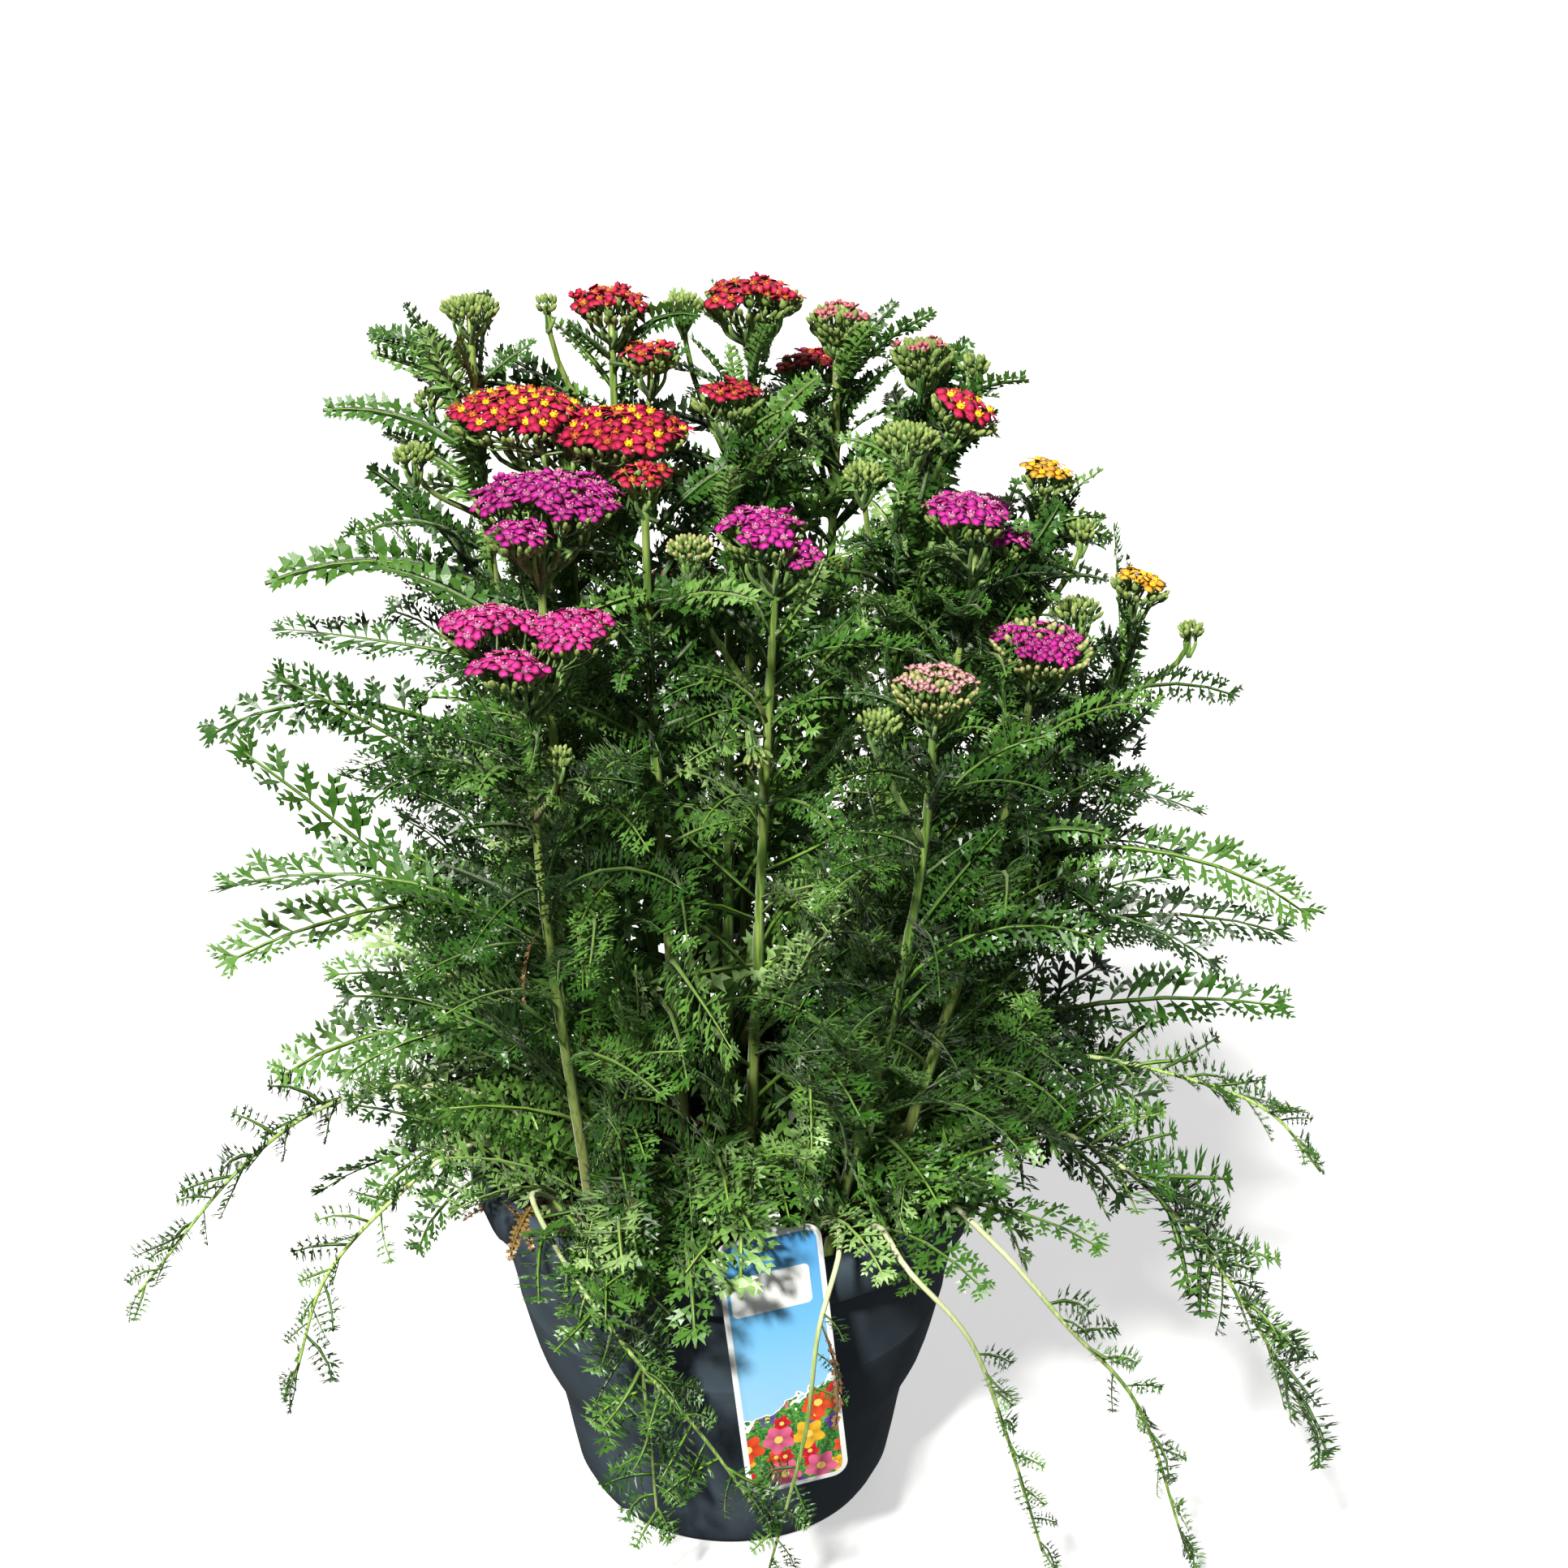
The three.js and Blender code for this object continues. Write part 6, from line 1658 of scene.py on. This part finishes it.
bpy.ops.object.join()
print("label", len(plate.data.polygons), "faces, size", [round(v, 1) for v in plate.dimensions])

# %% Where the print lies
# the map holds millimetres: across the plate from -18 to 18, and down it from 0 to -106
sheet_map = plate.data.uv_layers.new(name="print") if not plate.data.uv_layers else plate.data.uv_layers[0]
for corner in plate.data.loops:
    x, y, z = plate.data.vertices[corner.vertex_index].co
    is_front = y < -LABEL_THICKNESS / 2 + 0.2 and z < 0.01
    sheet_map.data[corner.index].uv = (x, z) if is_front else (0.0, 20.0)
plate.data.transform(LABEL_PLACE)

# %% [markdown]
# ### The print
#
# The face carries a printed scene inside a white border: a sky that pales downwards, an empty white panel, and a bed
# of flowers in the lower part with a white outline. The flowers are cells of two Voronoi patterns: each cell's own
# point is the middle of a flower, the angle round it draws five petals, and the cell's random colour picks their
# colour. The sheet is laminated, so it has a clear glossy coat.

# %% Boxes and flowers of the print
finish, tree, place = new_finish("plastic_card_printed", 0.35, 0.5, Coat_Weight=0.4, Coat_Roughness=0.12)
FINISHES["label"] = finish
sheet = add_node(tree, "UVMap", uv_map=sheet_map.name)
sides = add_node(tree, "SeparateXYZ", {"Vector": sheet})
across, down = sides.outputs["X"], sides.outputs["Y"]


def rounded_box(left, right, low, high, corner):
    """1 inside a box with rounded corners, in millimetres on the sheet, and 0 outside it."""
    middle = ((left + right) / 2, (low + high) / 2, 0.0)
    reach = ((right - left) / 2 - corner, (high - low) / 2 - corner, 1.0)
    out, zero = sheet, (0.0, 0.0, 0.0)
    for operation, other in (("SUBTRACT", middle), ("ABSOLUTE", zero), ("SUBTRACT", reach), ("MAXIMUM", zero)):
        out = add_node(tree, "VectorMath", {0: out, 1: other}, operation=operation)
    away = add_node(tree, "VectorMath", {0: out}, operation="LENGTH")
    return add_node(tree, "MapRange", {"Value": away, "From Min": corner, "From Max": corner - 0.15})


def printed_flowers(size, radius, seed):
    """Five-petalled flowers in cells of a size in millimetres: their colour, and 1 where there is one."""
    shifted = add_node(tree, "Mapping", {"Vector": sheet, "Location": (seed, seed * 0.7, 0)})
    cells = add_node(tree, "TexVoronoi", {"Vector": shifted, "Scale": 1 / size, "Randomness": 0.7},
                     voronoi_dimensions="2D")
    offset = add_node(tree, "VectorMath", {0: shifted, 1: cells.outputs["Position"]}, operation="SUBTRACT")
    flat = add_node(tree, "VectorMath", {0: offset, 1: (1.0, 1.0, 0.0)}, operation="MULTIPLY")
    away = add_node(tree, "VectorMath", {0: flat}, operation="LENGTH")
    parts = add_node(tree, "SeparateXYZ", {"Vector": flat})
    chances = add_node(tree, "SeparateColor", {"Color": cells.outputs["Color"]})
    angle = add_node(tree, "Math", {0: parts.outputs["Y"], 1: parts.outputs["X"]}, operation="ARCTAN2")
    turned_by = add_node(tree, "Math", {0: chances.outputs["Green"], 1: 6.0}, operation="MULTIPLY")
    phase = add_node(tree, "Math", {0: angle, 1: 5.0, 2: turned_by}, operation="MULTIPLY_ADD")
    wave = add_node(tree, "Math", {0: phase}, operation="COSINE")
    edge = add_node(tree, "Math", {0: wave, 1: 0.16 * radius, 2: 0.84 * radius}, operation="MULTIPLY_ADD")
    petals = add_node(tree, "ValToRGB", {"Fac": chances.outputs["Red"]}, [
        (0.0, 0xD32232), (0.34, 0xF0B62E), (0.48, 0x6B4BA8), (0.64, 0xE2688F), (0.8, 0xE8502A)])
    petals.color_ramp.interpolation = "CONSTANT"
    # petals are darker at their claws and where two of them meet
    shade = add_node(tree, "MapRange", {"Value": away, "From Max": radius, "To Min": 0.62, "To Max": 1.12})
    creased = add_node(tree, "Math", {0: wave, 1: 0.12, 2: shade}, operation="MULTIPLY_ADD")
    toned = add_node(tree, "HueSaturation", {"Value": creased, "Color": petals})
    eye = add_node(tree, "Math", {0: away, 1: 0.24 * radius}, operation="LESS_THAN")
    colour = add_node(tree, "Mix", {0: eye, 6: toned, 7: linear(0xF5D66A)}, data_type="RGBA")
    return colour, add_node(tree, "Math", {0: away, 1: edge}, operation="LESS_THAN")


# %% Label finish
sky_place = add_node(tree, "MapRange", {"Value": down, "From Min": 0.0, "From Max": -106.0})
sky = add_node(tree, "ValToRGB", {"Fac": sky_place}, [(0.0, 0x4C96D2), (0.35, 0x70B8E8), (0.75, 0xA6D8F6)])
wavy = add_node(tree, "TexNoise", {"Vector": sheet, "Scale": 0.22, "Detail": 1.0})
slant = add_node(tree, "Math", {0: across, 1: 0.42, 2: -79.0}, operation="MULTIPLY_ADD")
ridge = add_node(tree, "Math", {0: wavy, 1: 16.0, 2: slant}, operation="MULTIPLY_ADD")
below = add_node(tree, "Math", {0: ridge, 1: down}, operation="SUBTRACT")
leaves = add_node(tree, "TexNoise", {"Vector": sheet, "Scale": 0.6, "Detail": 3.0, "Distortion": 1.6})
leafage = add_node(tree, "ValToRGB", {"Fac": leaves}, [(0.35, 0x1F5A2C), (0.5, 0x3F8A3C), (0.68, 0x8DBB4E)])
# each layer of the print: its colour, how far below the outline it starts, and where else it is limited to
layers = [
    (linear(0xF6F7F5), None, rounded_box(-15, 12.5, -31, -15, 2.0)),
    (linear(0xFBFBF8), -1.3, None),
    (leafage, 0.0, None),
    *((colour, 1.0, mask) for colour, mask in (printed_flowers(7.6, 3.5, 3.7), printed_flowers(13.5, 6.2, 11.3))),
]
printed = sky
for colour, depth, mask in layers:
    if depth is not None:
        inside = add_node(tree, "Math", {0: below, 1: depth}, operation="GREATER_THAN")
        mask = add_node(tree, "Math", {0: inside, 1: mask or 1.0}, operation="MULTIPLY")
    printed = add_node(tree, "Mix", {0: mask, 6: printed, 7: colour}, data_type="RGBA")
margin = rounded_box(-16.2, 16.2, -104.2, -1.8, 4.2)
add_node(tree, "Mix", {0: margin, 6: linear(0xF3F4F2), 7: printed}, data_type="RGBA", feeds="Base Color")
waviness = add_node(tree, "TexNoise", {"Vector": place, "Scale": 30.0, "Detail": 1.0})
add_node(tree, "Bump", {"Height": waviness, "Strength": 0.15, "Distance": 0.001}, feeds="Normal")
select_only(plate)
bpy.ops.object.shade_smooth_by_angle(angle=radians(35))
settled(plate, "label", "label_plastic", "label")
print("label printed with", len(tree.nodes), "nodes")

# %% [markdown]
# ## The floor
#
# The plant stands on a plain pale floor. It glows a little, as a light table does, so that the shadow on it stays
# light. It is kept out of the light that bounces, because that would fill the dark gaps between the leaves from
# below. It is a stage, not part of the plant.

# %% Floor
floor = begin(bpy.ops.mesh.primitive_circle_add, vertices=64, radius=9, fill_type="NGON")
floor.name = "floor"
finish, tree, place = new_finish(
    "acrylic_light_table_matt", 0.85, 0.2, Emission_Color=(1.0, 1.0, 1.0, 1.0), Emission_Strength=0.55)
cloud = add_node(tree, "TexNoise", {"Vector": place, "Scale": 1.2, "Detail": 2.0})
add_node(tree, "ValToRGB", {"Fac": cloud}, [(0.3, 0xB4B4B3), (0.7, 0xBABAB9)], "Base Color")
floor.data.materials.append(finish)
floor.visible_diffuse = floor.visible_glossy = False

# %% Sizes
print("triangles in all:", sum(triangles.values()), "largest piece:", max(triangles.values()))
